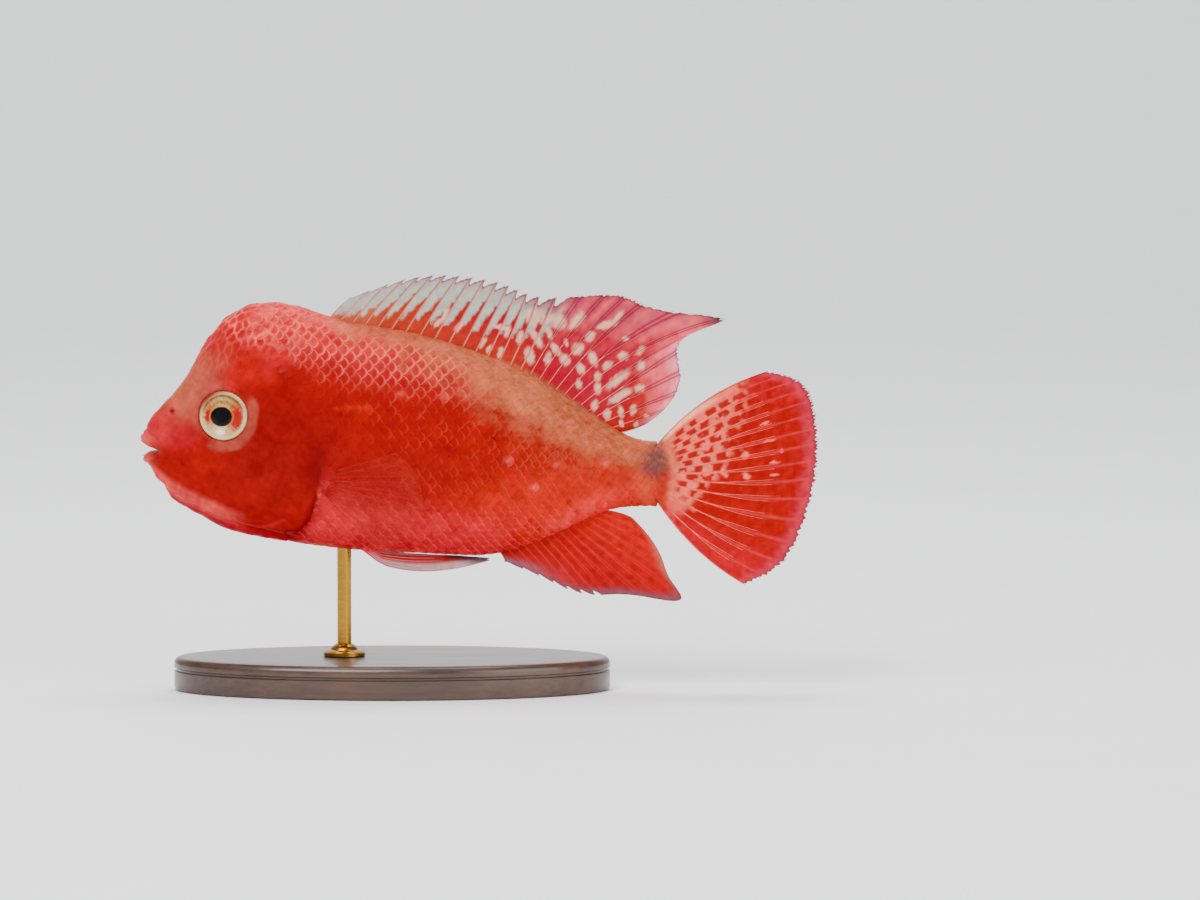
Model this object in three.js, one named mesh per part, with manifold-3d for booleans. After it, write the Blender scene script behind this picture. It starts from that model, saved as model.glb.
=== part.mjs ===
// Flowerhorn cichlid: a still, life-size model on a low display stand.
// Millimetres, +Z up. The head points to -X, the fish's left side faces -Y,
// and the origin is on the floor under the middle of the model.
import * as THREE from "three";
import { mergeVertices } from "three/addons/utils/BufferGeometryUtils.js";
import Module from "manifold-3d";

const wasm = await Module();
wasm.setup();

// Driving dimensions
const GAP = 0.3;                 // clearance kept between neighbouring pieces
const STATIONS = 42;             // rings along the flesh
const RING_SIDES = 28;           // sides of each ring
const LINING_STATIONS = 24;      // rings and sides of the surfaces under the gill covers
const LINING_SIDES = 18;
const COVER_PROUD = 0.4;         // gill cover stands this far out of the cheek
const COVER_THICK = 2.0;
const EYE = { x: -60.5, z: 66.0, radius: 6.0, flatten: 0.62, sunk: 2.3 };
const PUPIL_RADIUS = 2.7;
const NOSTRIL = { x: -73.0, z: 66.8, radius: 0.6 };
const FIN_ROOT_SINK = 2.2;       // how deep a fin is rooted before the flesh is cut away from it
const MEMBRANE_HALF = 0.26;      // half thickness of fin membrane
const BASE = { length: 104, width: 54, height: 8, bevel: 1.6, x: -21 };
const ROD = { x: -32.4, radius: 1.7, collarRadius: 5, collarHeight: 3 };

// Sections of the flesh from snout to tail root: back x, z, then belly x, z, then half width,
// height of the widest point as a share of the depth, and roundness of back and belly.
const SECTIONS = [
  [-80.8, 58.3, -80.8, 57.6, 1.0, 0.50, 2.0, 2.0],
  [-80.4, 60.3, -80.0, 55.6, 2.9, 0.50, 2.2, 2.2],
  [-78.6, 64.4, -77.4, 51.5, 4.6, 0.48, 2.2, 2.2],
  [-75.0, 68.7, -73.8, 46.5, 6.3, 0.46, 2.1, 2.2],
  [-70.9, 73.4, -69.8, 43.7, 7.9, 0.45, 2.1, 2.2],
  [-67.3, 79.1, -65.5, 41.4, 9.2, 0.45, 2.1, 2.2],
  [-63.6, 85.1, -61.0, 38.9, 10.3, 0.46, 2.3, 2.1],
  [-58.8, 90.0, -55.6, 37.3, 11.2, 0.46, 2.4, 2.0],
  [-51.9, 92.3, -48.6, 36.0, 12.1, 0.47, 2.4, 2.0],
  [-42.9, 91.2, -40.5, 34.8, 12.6, 0.48, 2.2, 2.1],
  [-32.1, 88.1, -31.0, 33.7, 12.5, 0.50, 2.0, 2.2],
  [-19.0, 85.7, -19.0, 33.0, 12.0, 0.51, 1.9, 2.2],
  [-6.0, 82.4, -7.1, 32.4, 11.0, 0.51, 1.9, 2.1],
  [8.3, 76.9, 4.8, 32.8, 9.3, 0.51, 1.9, 2.0],
  [21.4, 69.6, 17.9, 37.4, 7.1, 0.51, 1.9, 1.9],
  [31.6, 62.6, 29.3, 42.6, 5.0, 0.51, 1.9, 1.9],
  [37.9, 59.7, 37.6, 43.9, 3.5, 0.51, 2.0, 2.0],
  [42.0, 59.2, 42.2, 43.9, 2.0, 0.51, 2.0, 2.0],
];
const HUMP_SWELL = { from: 4, to: 10, amount: 0.16, level: 0.80, spread: 0.16 };

// Side outlines that part the flesh, [x, z]
const MOUTH_GAP = [[-75.7, 57.2], [-78.4, 58.3], [-80.2, 59.3], [-84, 60.0], [-84, 55.0], [-80.1, 56.0],
  [-78.1, 56.9]];
const JAW = [[-75.5, 57.2], [-84, 57.2], [-84, 34], [-67.4, 34], [-65.9, 41.8], [-63.3, 44.6],
  [-65.2, 48.0], [-70.2, 53.2]];
const HUMP_LINE = [[-70, 79.0], [-67.6, 78.2], [-62.4, 78.6], [-54.8, 80.8], [-46.0, 84.6],
  [-38.6, 88.6], [-37.2, 95]];
const NAPE_TO_THROAT = [[-37.4, 97], [-38.3, 81], [-38.3, 70], [-37.0, 57.2], [-37.8, 47.6],
  [-40.6, 40.4], [-45.0, 36.6], [-47.6, 30]];
const GILL_COVER = [[-51.0, 70.6], [-44.8, 71.9], [-39.6, 70.6], [-35.0, 66.5], [-34.2, 57.2], [-35.0, 47.5],
  [-38.2, 40.2], [-43.2, 36.9], [-52, 37.6], [-58.2, 39.9], [-55.6, 44.9], [-53.6, 50.6], [-52.6, 59.6]];
const TAIL_LINE = [[29.9, 76], [28.6, 52.5], [29.9, 30]];
const FAR = 120;                 // beyond everything, for closing outlines

// Fins. Root lines run along the flesh, tips are keyed by ray number as [ray, x, z].
const DORSAL = {
  spines: 16, rays: 28,
  root: [[0, -35.6, 88.9], [5, -21, 86.0], [10, -4, 81.8], [15, 9.6, 76.2], [21, 22, 69.2], [27, 33.9, 61.4]],
  tips: [[0, -30.5, 93.7], [3, -17.6, 98.0], [7, -4.8, 98.8], [11, 6.9, 96.4], [15, 18.3, 93.7],
    [18, 34.8, 93.9], [20, 46.9, 90.2], [21, 58.2, 88.5], [22, 51.0, 85.3], [24, 47.9, 75.8],
    [26, 43.6, 66.6], [27, 39.4, 63.4]],
  rootAngle: [[0, 52], [8, 62], [15, 62], [21, 46], [27, 12]],
};
const ANAL = {
  spines: 7, rays: 16, root: [[0, 5.0, 32.9], [8, 18.8, 37.9], [15, 30.0, 42.9]],
  tips: [[0, 5.9, 30.4], [2, 14.0, 27.2], [4, 20.9, 24.0], [6, 27.4, 22.6], [9, 38.6, 22.2],
    [11, 48.0, 22.1], [12, 45.2, 26.6], [13, 43.4, 31.2], [14, 40.6, 36.2], [15, 36.4, 41.0]],
  rootAngle: [[0, -42], [6, -46], [11, -34], [15, -4]],
};
const CAUDAL = {
  rays: 16, root: [[0, 42.6, 59.0], [8, 43.8, 51.5], [15, 42.8, 44.1]],
  tips: [[0, 68.6, 76.0], [2, 76.0, 73.9], [5, 80.0, 66.0], [8, 80.6, 55.0], [11, 77.6, 40.4],
    [13, 72.2, 30.2], [15, 63.1, 25.1]],
  rootAngle: [[0, 52], [8, 0], [15, -58]],
};
const PECTORAL = { rays: 11, x: -35.6, top: 52.6, bottom: 46.6, length: 25, fan: [16, -42], flare: 24 };
const PELVIC = { rays: 6, x: -28.2, y: 2.6, length: 30.5, spread: 5.4 };

// Values between knots [t, v1, v2, ...] on natural cubic splines, as an array
function spline(knots) {
  const n = knots.length, t = knots.map((k) => k[0]), width = knots[0].length - 1;
  const bends = Array.from({ length: width }, (_, d) => {
    const lower = [0], value = [0];
    for (let i = 1; i < n - 1; i++) {
      const before = t[i] - t[i - 1], after = t[i + 1] - t[i];
      const rise = (knots[i + 1][d + 1] - knots[i][d + 1]) / after
        - (knots[i][d + 1] - knots[i - 1][d + 1]) / before;
      const pivot = 2 * (before + after) - before * lower[i - 1];
      lower.push(after / pivot);
      value.push((6 * rise - before * value[i - 1]) / pivot);
    }
    const second = Array(n).fill(0);
    for (let i = n - 2; i > 0; i--) second[i] = value[i] - lower[i] * second[i + 1];
    return second;
  });
  return (at) => {
    let i = 0;
    while (i < n - 2 && at > t[i + 1]) i++;
    const step = t[i + 1] - t[i], b = (at - t[i]) / step, a = 1 - b;
    return bends.map((second, d) => a * knots[i][d + 1] + b * knots[i + 1][d + 1]
      + ((a ** 3 - a) * second[i] + (b ** 3 - b) * second[i + 1]) * step * step / 6);
  };
}

// A closed mesh as a solid, and a solid as a mesh geometry
function solidOf(geometry) {
  const bare = geometry.clone();
  bare.deleteAttribute("normal");
  bare.deleteAttribute("uv");
  const merged = mergeVertices(bare, 1e-4);
  return new wasm.Manifold(new wasm.Mesh({
    numProp: 3,
    vertProperties: new Float32Array(merged.attributes.position.array),
    triVerts: new Uint32Array(merged.index.array),
  }));
}
function geometryOf(solid) {
  const mesh = solid.getMesh();
  const geometry = new THREE.BufferGeometry();
  geometry.setAttribute("position", new THREE.BufferAttribute(mesh.vertProperties, 3));
  geometry.setIndex(new THREE.BufferAttribute(mesh.triVerts, 1));
  geometry.computeVertexNormals();
  return geometry;
}
function largest(solid) {
  return solid.decompose().reduce((a, b) => (b.volume() > a.volume() ? b : a));
}

// Points and faces as a geometry
function meshOf(points, faces) {
  const geometry = new THREE.BufferGeometry();
  const places = points.flatMap((p) => p.toArray());
  geometry.setAttribute("position", new THREE.Float32BufferAttribute(places, 3));
  geometry.setIndex(faces.flat());
  return geometry;
}

// A closed body with its faces turned outwards
function outward(points, faces) {
  const solid = solidOf(meshOf(points, faces));
  return solid.volume() > 0 ? solid : solidOf(meshOf(points, faces.map(([a, b, c]) => [a, c, b])));
}

// A closed body through rings of equal side counts, with a fan over each end
function ringBody(rings) {
  const sides = rings[0].length, points = rings.flat(), faces = [];
  const middle = (ring) => ring.reduce((sum, p) => sum.add(p), new THREE.Vector3()).divideScalar(sides);
  for (let r = 0; r < rings.length - 1; r++) {
    for (let j = 0; j < sides; j++) {
      const a = r * sides + j, b = r * sides + (j + 1) % sides;
      faces.push([a, b, a + sides], [b, b + sides, a + sides]);
    }
  }
  const start = points.length, last = (rings.length - 1) * sides;
  points.push(middle(rings[0]), middle(rings.at(-1)));
  for (let j = 0; j < sides; j++) {
    const next = (j + 1) % sides;
    faces.push([start, next, j], [start + 1, last + j, last + next]);
  }
  return outward(points, faces);
}

// The flesh as one smooth form, with its surface moved out by grow
const section = spline(SECTIONS.map((row, i) => [i, ...row]));
const LAST_SECTION = SECTIONS.length - 1;
function hump(t, level) {
  const along = (t - HUMP_SWELL.from) / (HUMP_SWELL.to - HUMP_SWELL.from);
  if (along <= 0 || along >= 1) return 1;
  const near = (level - HUMP_SWELL.level) / HUMP_SWELL.spread;
  return 1 + HUMP_SWELL.amount * Math.sin(Math.PI * along) ** 2 * Math.exp(-near * near);
}
function fleshPoint(t, angle, grow = 0) {
  const [backX, backZ, bellyX, bellyZ, half, waist, backRound, bellyRound] = section(t);
  const belly = new THREE.Vector3(bellyX, 0, bellyZ), back = new THREE.Vector3(backX, 0, backZ);
  const centre = belly.clone().lerp(back, waist), c = Math.cos(angle), s = Math.sin(angle);
  const end = c >= 0 ? back : belly, power = 2 / (c >= 0 ? backRound : bellyRound);
  const reach = end.clone().sub(centre), share = Math.abs(c) ** power;
  const y = Math.sign(s) * Math.abs(s) ** power * half * (c > 0 ? hump(t, share) : 1);
  const point = centre.clone().addScaledVector(reach, share * (1 + grow / reach.length()));
  point.y = y + grow * s;
  point.x += grow * (t < 1 ? -(1 - t) : Math.max(0, t - LAST_SECTION + 1));
  return point;
}
function flesh(grow, stations = STATIONS, sides = RING_SIDES) {
  return ringBody(Array.from({ length: stations + 1 }, (_, i) =>
    Array.from({ length: sides }, (_, j) =>
      fleshPoint(LAST_SECTION * i / stations, 2 * Math.PI * j / sides, grow))));
}

// Where the left flank lies at a place in side view: the point and its outward normal
function flank(x, z) {
  let best = null;
  for (let t = 0; t <= LAST_SECTION; t += 0.1) {
    for (let angle = Math.PI * 1.02; angle < Math.PI * 1.98; angle += 0.02) {
      const p = fleshPoint(t, angle), miss = Math.hypot(p.x - x, p.z - z);
      if (!best || miss < best.miss) best = { miss, t, angle, point: p };
    }
  }
  const alongBody = fleshPoint(best.t + 0.2, best.angle).sub(fleshPoint(best.t - 0.2, best.angle));
  const aroundBody = fleshPoint(best.t, best.angle + 0.05).sub(fleshPoint(best.t, best.angle - 0.05));
  const normal = alongBody.cross(aroundBody).normalize();
  if (normal.y > 0) normal.negate();
  return { point: new THREE.Vector3(x, best.point.y, z), normal };
}

// Cutters: a side outline pushed through in Y, and the outline moved out by a distance
function outlineOffset(outline, distance) {
  const shape = outline.map(([x, z]) => new THREE.Vector2(x, z));
  const turn = Math.sign(THREE.ShapeUtils.area(shape));
  return shape.map((p, i) => {
    const before = shape[(i + shape.length - 1) % shape.length], after = shape[(i + 1) % shape.length];
    const along = p.clone().sub(before).normalize().add(after.clone().sub(p).normalize()).normalize();
    return [p.x + turn * distance * along.y, p.y - turn * distance * along.x];
  });
}
function smoothOutline(outline, steps) {
  const curve = new THREE.CatmullRomCurve3(outline.map(([x, z]) => new THREE.Vector3(x, z, 0)), true);
  return curve.getPoints(steps).slice(0, -1).map((p) => [p.x, p.y]);
}
function smoothLine(line, steps) {
  const curve = new THREE.SplineCurve(line.map(([x, z]) => new THREE.Vector2(x, z)));
  return curve.getPoints(steps).map((p) => [p.x, p.y]);
}
function shift(line, dx, dz) {
  return line.map(([x, z]) => [x + dx, z + dz]);
}
function prism(outline, yFrom = -FAR, yTo = FAR) {
  const shape = new THREE.Shape(outline.map(([x, z]) => new THREE.Vector2(x, z)));
  const depth = yTo - yFrom;
  const geometry = new THREE.ExtrudeGeometry(shape, { depth, bevelEnabled: false, curveSegments: 1 });
  return solidOf(geometry.rotateX(Math.PI / 2).translate(0, yTo, 0));
}

// A side, -1 for the fish's left and 1 for its right
const SIDES = [["left", -1], ["right", 1]];

// The eye: a flattened ball with a raised pupil, looking out along the flank's normal
function eyeSolid(side, grow) {
  const { point, normal } = flank(EYE.x, EYE.z), radius = EYE.radius + grow;
  const look = new THREE.Vector3(normal.x * 0.5, normal.y, normal.z * 0.5).normalize();
  const ball = new THREE.SphereGeometry(radius, 20, 10).rotateX(-Math.PI / 2);
  ball.scale(1, 1, EYE.flatten);
  let solid = solidOf(ball);
  if (!grow) {
    const pupil = new THREE.SphereGeometry(PUPIL_RADIUS, 14, 6).rotateX(-Math.PI / 2);
    pupil.scale(1, 1, 0.35).translate(0, 0, EYE.radius * EYE.flatten - 0.35);
    solid = solid.add(solidOf(pupil));
  }
  const centre = point.clone().addScaledVector(look, -EYE.sunk);
  return placed(solid, centre, look, side);
}
// A solid built on +Z set at a place of the left flank facing outwards, or its twin on the right
function placed(solid, centre, look, side) {
  const turn = new THREE.Quaternion().setFromUnitVectors(new THREE.Vector3(0, 0, 1), look);
  const matrix = new THREE.Matrix4().compose(centre, turn, new THREE.Vector3(1, 1, 1));
  const set = solid.transform(matrix.elements);
  return side < 0 ? set : set.mirror([0, 1, 0]);
}
function orbitRim(side) {
  const { point, normal } = flank(EYE.x, EYE.z);
  const ring = new THREE.TorusGeometry(EYE.radius + 0.25, 1.0, 6, 20);
  return placed(solidOf(ring), point.clone().addScaledVector(normal, -0.55), normal, side);
}
function nostrilPit(side, radius, depth) {
  const { point, normal } = flank(NOSTRIL.x, NOSTRIL.z);
  const cup = new THREE.CylinderGeometry(radius, radius * 0.6, depth, 8).rotateX(Math.PI / 2);
  return placed(solidOf(cup), point, normal, side);
}

// A lip: a tapered roll from one corner of the mouth round the front to the other
function lipSolid({ front, corner, halfWidth, radius }, grow) {
  const rings = [], steps = 12, sides = 8;
  for (let i = 0; i <= steps; i++) {
    const turn = -Math.PI / 2 + Math.PI * i / steps, c = Math.cos(turn), s = Math.sin(turn);
    const centre = new THREE.Vector3(
      corner[0] + (front[0] - corner[0]) * c, halfWidth * s, corner[1] + (front[1] - corner[1]) * c);
    const out = new THREE.Vector3(-c, s * 0.9, 0).normalize();
    const thick = radius * (0.34 + 0.66 * Math.sqrt(c + 1e-9)) + grow;
    rings.push(Array.from({ length: sides }, (_, j) => {
      const a = 2 * Math.PI * j / sides;
      const lift = new THREE.Vector3(0, 0, 0.85 * thick * Math.sin(a));
      return centre.clone().addScaledVector(out, thick * Math.cos(a)).add(lift);
    }));
  }
  return ringBody(rings);
}
const UPPER_LIP = { front: [-80.2, 60.4], corner: [-75.9, 57.9], halfWidth: 5.1, radius: 1.25 };
const LOWER_LIP = { front: [-79.4, 55.2], corner: [-75.7, 56.7], halfWidth: 5.0, radius: 1.1 };

// A fin: a membrane with a raised ridge for each ray.
// rayPoint(q, v) is the middle of the fin at ray number q, v of the way from root to edge.
function finBody({ rays, rows, rayPoint, sideways, ridge, membrane, spines = 0, notch = 0, branch = false }) {
  const columns = [];
  for (let i = 0; i < rays; i++) {
    const between = i < rays - 1;
    const forked = branch && i > 0 && between;
    if (forked) columns.push([i - 0.3, 0], [i - 0.17, 1], [i, 2], [i + 0.17, 1], [i + 0.3, 0]);
    else columns.push(...(i > 0 ? [[i - 0.2, 0]] : []), [i, 3], ...(between ? [[i + 0.2, 0]] : []));
    if (between && i < spines) columns.push([i + 0.55, 0]);
  }
  const side = [[], []];
  for (const [q, kind] of columns) {
    const past = q - Math.floor(q);
    const cut = q < spines - 0.5 ? 1 - notch * Math.max(0, past - 0.25) ** 1.2 * (past > 0.25 ? 1 : 0) : 1;
    for (let r = 0; r <= rows; r++) {
      const v = r / rows, outer = v * cut, split = THREE.MathUtils.smoothstep(v, 0.3, 0.6);
      const height = { 0: 0, 1: branch ? split : 0, 2: 1 - split, 3: 1 }[kind] * ridge * (1 - 0.75 * v);
      const half = membrane * (1 - 0.45 * v) + height + 0.5 * (1 - v) ** 4;
      const centre = rayPoint(q, outer), normal = sideways(q, outer);
      side[0].push(centre.clone().addScaledVector(normal, half));
      side[1].push(centre.clone().addScaledVector(normal, -half));
    }
  }
  const count = side[0].length, tall = rows + 1, faces = [];
  const quad = (a, b, c, d) => faces.push([a, b, c], [a, c, d]);
  for (let c = 0; c < columns.length - 1; c++) {
    for (let r = 0; r < rows; r++) {
      const a = c * tall + r, b = a + tall;
      faces.push([a, b, b + 1], [a, b + 1, a + 1]);
      faces.push([a + count, b + 1 + count, b + count], [a + count, a + 1 + count, b + 1 + count]);
    }
    const low = c * tall, high = low + rows;
    quad(low, low + count, low + tall + count, low + tall);
    quad(high, high + tall, high + tall + count, high + count);
  }
  const end = (columns.length - 1) * tall;
  for (let r = 0; r < rows; r++) {
    quad(r, r + 1, r + 1 + count, r + count);
    quad(end + r, end + r + count, end + r + 1 + count, end + r + 1);
  }
  return outward([...side[0], ...side[1]], faces);
}

// A fin in the middle plane: rays leave the root line at their own angle and bend over to their tips
function middleFin(plan, options) {
  const root = spline(plan.root), tip = spline(plan.tips), angle = spline(plan.rootAngle);
  const rayPoint = (q, v) => {
    const [rx, rz] = root(q), [tx, tz] = tip(q), lean = THREE.MathUtils.degToRad(angle(q)[0]);
    const reach = Math.hypot(tx - rx, tz - rz), direction = [Math.cos(lean), Math.sin(lean)];
    const sunk = -FIN_ROOT_SINK * (1 - v) ** 2;
    const bend = [rx + direction[0] * reach * 0.5, rz + direction[1] * reach * 0.5];
    const mix = (a, b, c) => (1 - v) ** 2 * a + 2 * v * (1 - v) * b + v * v * c;
    return new THREE.Vector3(
      mix(rx, bend[0], tx) + sunk * direction[0], 0, mix(rz, bend[1], tz) + sunk * direction[1]);
  };
  const sideways = () => new THREE.Vector3(0, 1, 0);
  const { rays, spines } = plan;
  return finBody({ rays, spines, rayPoint, sideways, membrane: MEMBRANE_HALF, ...options });
}
function pairedFin(rayPoint, rays, options) {
  const sideways = (q, v) => {
    const across = rayPoint(q + 0.1, v).sub(rayPoint(q - 0.1, v));
    const along = rayPoint(q, v + 0.05).sub(rayPoint(q, v - 0.05));
    return along.cross(across).normalize();
  };
  return finBody({ rays, rayPoint, sideways, membrane: MEMBRANE_HALF, ...options });
}
const pectoralRoot = flank(PECTORAL.x, (PECTORAL.top + PECTORAL.bottom) / 2).point;
function pectoralPoint(q, v) {
  const share = q / (PECTORAL.rays - 1), flare = THREE.MathUtils.degToRad(PECTORAL.flare);
  const lean = THREE.MathUtils.degToRad(THREE.MathUtils.lerp(...PECTORAL.fan, share));
  const z = THREE.MathUtils.lerp(PECTORAL.top, PECTORAL.bottom, share);
  const long = PECTORAL.length * (0.6 + 0.4 * Math.sin(Math.PI * (0.12 + 0.8 * share)));
  const reach = -FIN_ROOT_SINK + v * (long + FIN_ROOT_SINK), out = reach * Math.sin(flare) * (1 - 0.25 * v);
  const x = pectoralRoot.x + reach * Math.cos(flare) * Math.cos(lean);
  return new THREE.Vector3(x, pectoralRoot.y - out, z + reach * Math.sin(lean));
}
function pelvicPoint(q, v) {
  const share = Math.max(0, q / (PELVIC.rays - 1)), reach = v * PELVIC.length * (1 - 0.34 * share ** 1.3);
  const belly = 33.0 + 0.7 * Math.exp(-(((PELVIC.x + reach + 30) / 9) ** 2));
  const spread = (1 - share) * PELVIC.spread * Math.sin(Math.PI * Math.min(1, 0.12 + 0.8 * v));
  const z = belly - 0.55 - 0.62 * spread - 0.5 * v + FIN_ROOT_SINK * Math.max(0, 1 - 6 * v);
  return new THREE.Vector3(PELVIC.x + reach + share * 1.2, -(PELVIC.y - 1.2 * v + 0.75 * spread), z);
}

// Assembly
const model = new THREE.Group();
function addPiece(name, solid, color, roughness = 0.45, metalness = 0) {
  const material = new THREE.MeshStandardMaterial({ color, roughness, metalness });
  const mesh = new THREE.Mesh(geometryOf(solid), material);
  mesh.name = name;
  model.add(mesh);
}
const RED = 0xd01210, ROSE = 0xd85a50, FIN_RED = 0xd83038;

function buildFlesh() {
  const whole = flesh(0);
  const upperLip = lipSolid(UPPER_LIP, 0), lowerLip = lipSolid(LOWER_LIP, 0);
  const lipRoom = lipSolid(UPPER_LIP, GAP).add(lipSolid(LOWER_LIP, GAP));
  const nape = smoothLine(NAPE_TO_THROAT, 12), humpLine = smoothLine(HUMP_LINE, 10);
  const tailLine = smoothLine(TAIL_LINE, 4);
  const front = prism([...nape, [-FAR, -FAR], [-FAR, FAR]]);
  const behind = prism([...shift(nape, GAP, 0), [FAR, -FAR], [FAR, FAR]]);
  const beforeTail = prism([...tailLine, [-FAR, -FAR], [-FAR, FAR]]);
  const afterTail = prism([...shift(tailLine, GAP, 0), [FAR, -FAR], [FAR, FAR]]);
  const aboveHump = prism([...shift(humpLine, 0, GAP), [-37, FAR], [-FAR, FAR]]);
  const belowHump = prism([...humpLine, [-37, -FAR], [-FAR, -FAR], [-FAR, 79]]);
  const jaw = prism(JAW), jawRoom = prism(outlineOffset(JAW, GAP)), mouth = prism(MOUTH_GAP);
  const coverLine = smoothOutline(GILL_COVER, 22);
  const coverRoomShape = outlineOffset(coverLine, GAP);
  const proud = flesh(COVER_PROUD);
  const lining = flesh(-COVER_THICK, LINING_STATIONS, LINING_SIDES);
  const coverLining = flesh(-COVER_THICK - GAP, LINING_STATIONS, LINING_SIDES);

  let head = whole.intersect(front).intersect(belowHump).subtract(jawRoom).subtract(mouth).subtract(lipRoom);
  let humpSolid = whole.intersect(front).intersect(aboveHump);
  for (const [name, side] of SIDES) {
    const [from, to] = side < 0 ? [-FAR, -3] : [3, FAR];
    const cover = proud.intersect(prism(coverLine, from, to)).subtract(lining);
    addPiece(`gill_cover_${name}`, largest(cover.intersect(front)), RED);
    head = head.subtract(prism(coverRoomShape, from, to).subtract(coverLining));
    head = head.add(orbitRim(side).intersect(front)).subtract(eyeSolid(side, GAP));
    head = head.add(nostrilPit(side, NOSTRIL.radius + 0.5, 0.7));
    head = head.subtract(nostrilPit(side, NOSTRIL.radius, 1.6));
    addPiece(`eye_${name}`, eyeSolid(side, 0), 0xe8dcae, 0.15);
  }
  addPiece("head", largest(head), RED);
  addPiece("nuchal_hump", largest(humpSolid), RED);
  addPiece("lower_jaw", largest(whole.intersect(jaw).subtract(mouth).subtract(lipRoom)), ROSE);
  addPiece("upper_lip", upperLip, ROSE);
  addPiece("lower_lip", lowerLip, ROSE);
  addPiece("trunk", largest(whole.intersect(behind).intersect(beforeTail)), RED);
  addPiece("tail_stalk", largest(whole.intersect(afterTail)), RED);
}

function buildFins() {
  const room = flesh(GAP);
  const coverEdge = shift(smoothLine(NAPE_TO_THROAT, 12), GAP, 0);
  const coverRoom = flesh(COVER_PROUD + GAP).intersect(prism([...coverEdge, [-FAR, -FAR], [-FAR, FAR]]));
  const clear = (fin) => largest(fin.subtract(room).subtract(coverRoom));
  addPiece("dorsal_fin", clear(middleFin(DORSAL, { rows: 4, ridge: 0.34, notch: 0.3 })), FIN_RED);
  addPiece("anal_fin", clear(middleFin(ANAL, { rows: 4, ridge: 0.34, notch: 0.18 })), FIN_RED);
  addPiece("caudal_fin", clear(middleFin(CAUDAL, { rows: 5, ridge: 0.34, branch: true })), FIN_RED);
  const pectoral = clear(pairedFin(pectoralPoint, PECTORAL.rays, { rows: 3, ridge: 0.24 }));
  const pelvic = clear(pairedFin(pelvicPoint, PELVIC.rays, { rows: 6, ridge: 0.24 }));
  for (const [name, side] of SIDES) {
    addPiece(`pectoral_fin_${name}`, side < 0 ? pectoral : pectoral.mirror([0, 1, 0]), ROSE);
    addPiece(`pelvic_fin_${name}`, side < 0 ? pelvic : pelvic.mirror([0, 1, 0]), ROSE);
  }
}

function buildStand() {
  const { length, width, height, bevel, x } = BASE, a = length / 2 - bevel, b = width / 2 - bevel;
  const plan = new THREE.Shape().absellipse(0, 0, a, b, 0, 2 * Math.PI);
  const board = new THREE.ExtrudeGeometry(plan, {
    depth: height - 2 * bevel, bevelThickness: bevel, bevelSize: bevel, bevelSegments: 2, curveSegments: 20,
  });
  addPiece("stand_base", solidOf(board.translate(x, 0, bevel)), 0x3a2417, 0.4);
  const foot = height + GAP;
  const collarProfile = [
    [0, 0], [ROD.collarRadius, 0], [ROD.collarRadius, ROD.collarHeight * 0.4],
    [ROD.radius + 1, ROD.collarHeight], [0, ROD.collarHeight],
  ];
  const collar = new THREE.LatheGeometry(collarProfile.map(([r, z]) => new THREE.Vector2(r, z)), 28);
  const rodTop = 50, rodLength = rodTop - foot;
  const rod = solidOf(new THREE.CylinderGeometry(ROD.radius, ROD.radius, rodLength, 20).rotateX(Math.PI / 2)
    .translate(ROD.x, 0, foot + rodLength / 2)).subtract(flesh(GAP));
  const post = largest(rod).add(solidOf(collar.rotateX(Math.PI / 2).translate(ROD.x, 0, foot)));
  addPiece("stand_rod", post, 0xb08d4a, 0.3, 0.9);
}

buildFlesh();
buildFins();
buildStand();

export default model;
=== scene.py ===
import math

import bmesh
import bpy
import numpy as np
from mathutils import Matrix, Vector


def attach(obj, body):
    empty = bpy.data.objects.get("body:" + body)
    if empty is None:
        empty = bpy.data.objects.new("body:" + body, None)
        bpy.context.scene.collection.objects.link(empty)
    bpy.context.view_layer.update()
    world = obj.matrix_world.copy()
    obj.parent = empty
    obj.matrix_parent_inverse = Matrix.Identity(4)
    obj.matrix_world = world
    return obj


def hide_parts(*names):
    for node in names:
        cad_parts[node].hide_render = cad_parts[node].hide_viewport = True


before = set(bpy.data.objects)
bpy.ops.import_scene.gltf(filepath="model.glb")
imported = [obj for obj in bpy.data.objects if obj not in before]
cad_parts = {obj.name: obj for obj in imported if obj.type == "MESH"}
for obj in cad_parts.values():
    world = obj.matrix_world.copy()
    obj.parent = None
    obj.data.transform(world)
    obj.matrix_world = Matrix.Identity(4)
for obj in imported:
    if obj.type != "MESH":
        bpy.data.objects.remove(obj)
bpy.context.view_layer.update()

MM = 0.001
PHOTO_WIDTH = 1200
SENSOR = 36.0
MIRROR = np.array([1, -1, 1])  # turns the left side into the right
FAR = 1e9

# Driving sizes, as in the part
EYE = {"x": -60.5, "z": 66.0, "radius": 6.0, "flatten": 0.62, "sunk": 2.3}
PUPIL_RADIUS = 2.62
NOSTRIL = {"x": -73.0, "z": 66.8, "radius": 0.6}
FIN_ROOT_SINK = 2.2
THINNEST_EDGE = 0.03         # half the thickness of a fin's skin at its thinnest
BASE = {"length": 104.0, "width": 54.0, "height": 8.0, "bevel": 1.6, "x": -21.0}
ROD = {"x": -32.4, "radius": 1.7, "collar_radius": 5.0, "collar_height": 3.0, "top": 36.0}

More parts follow.
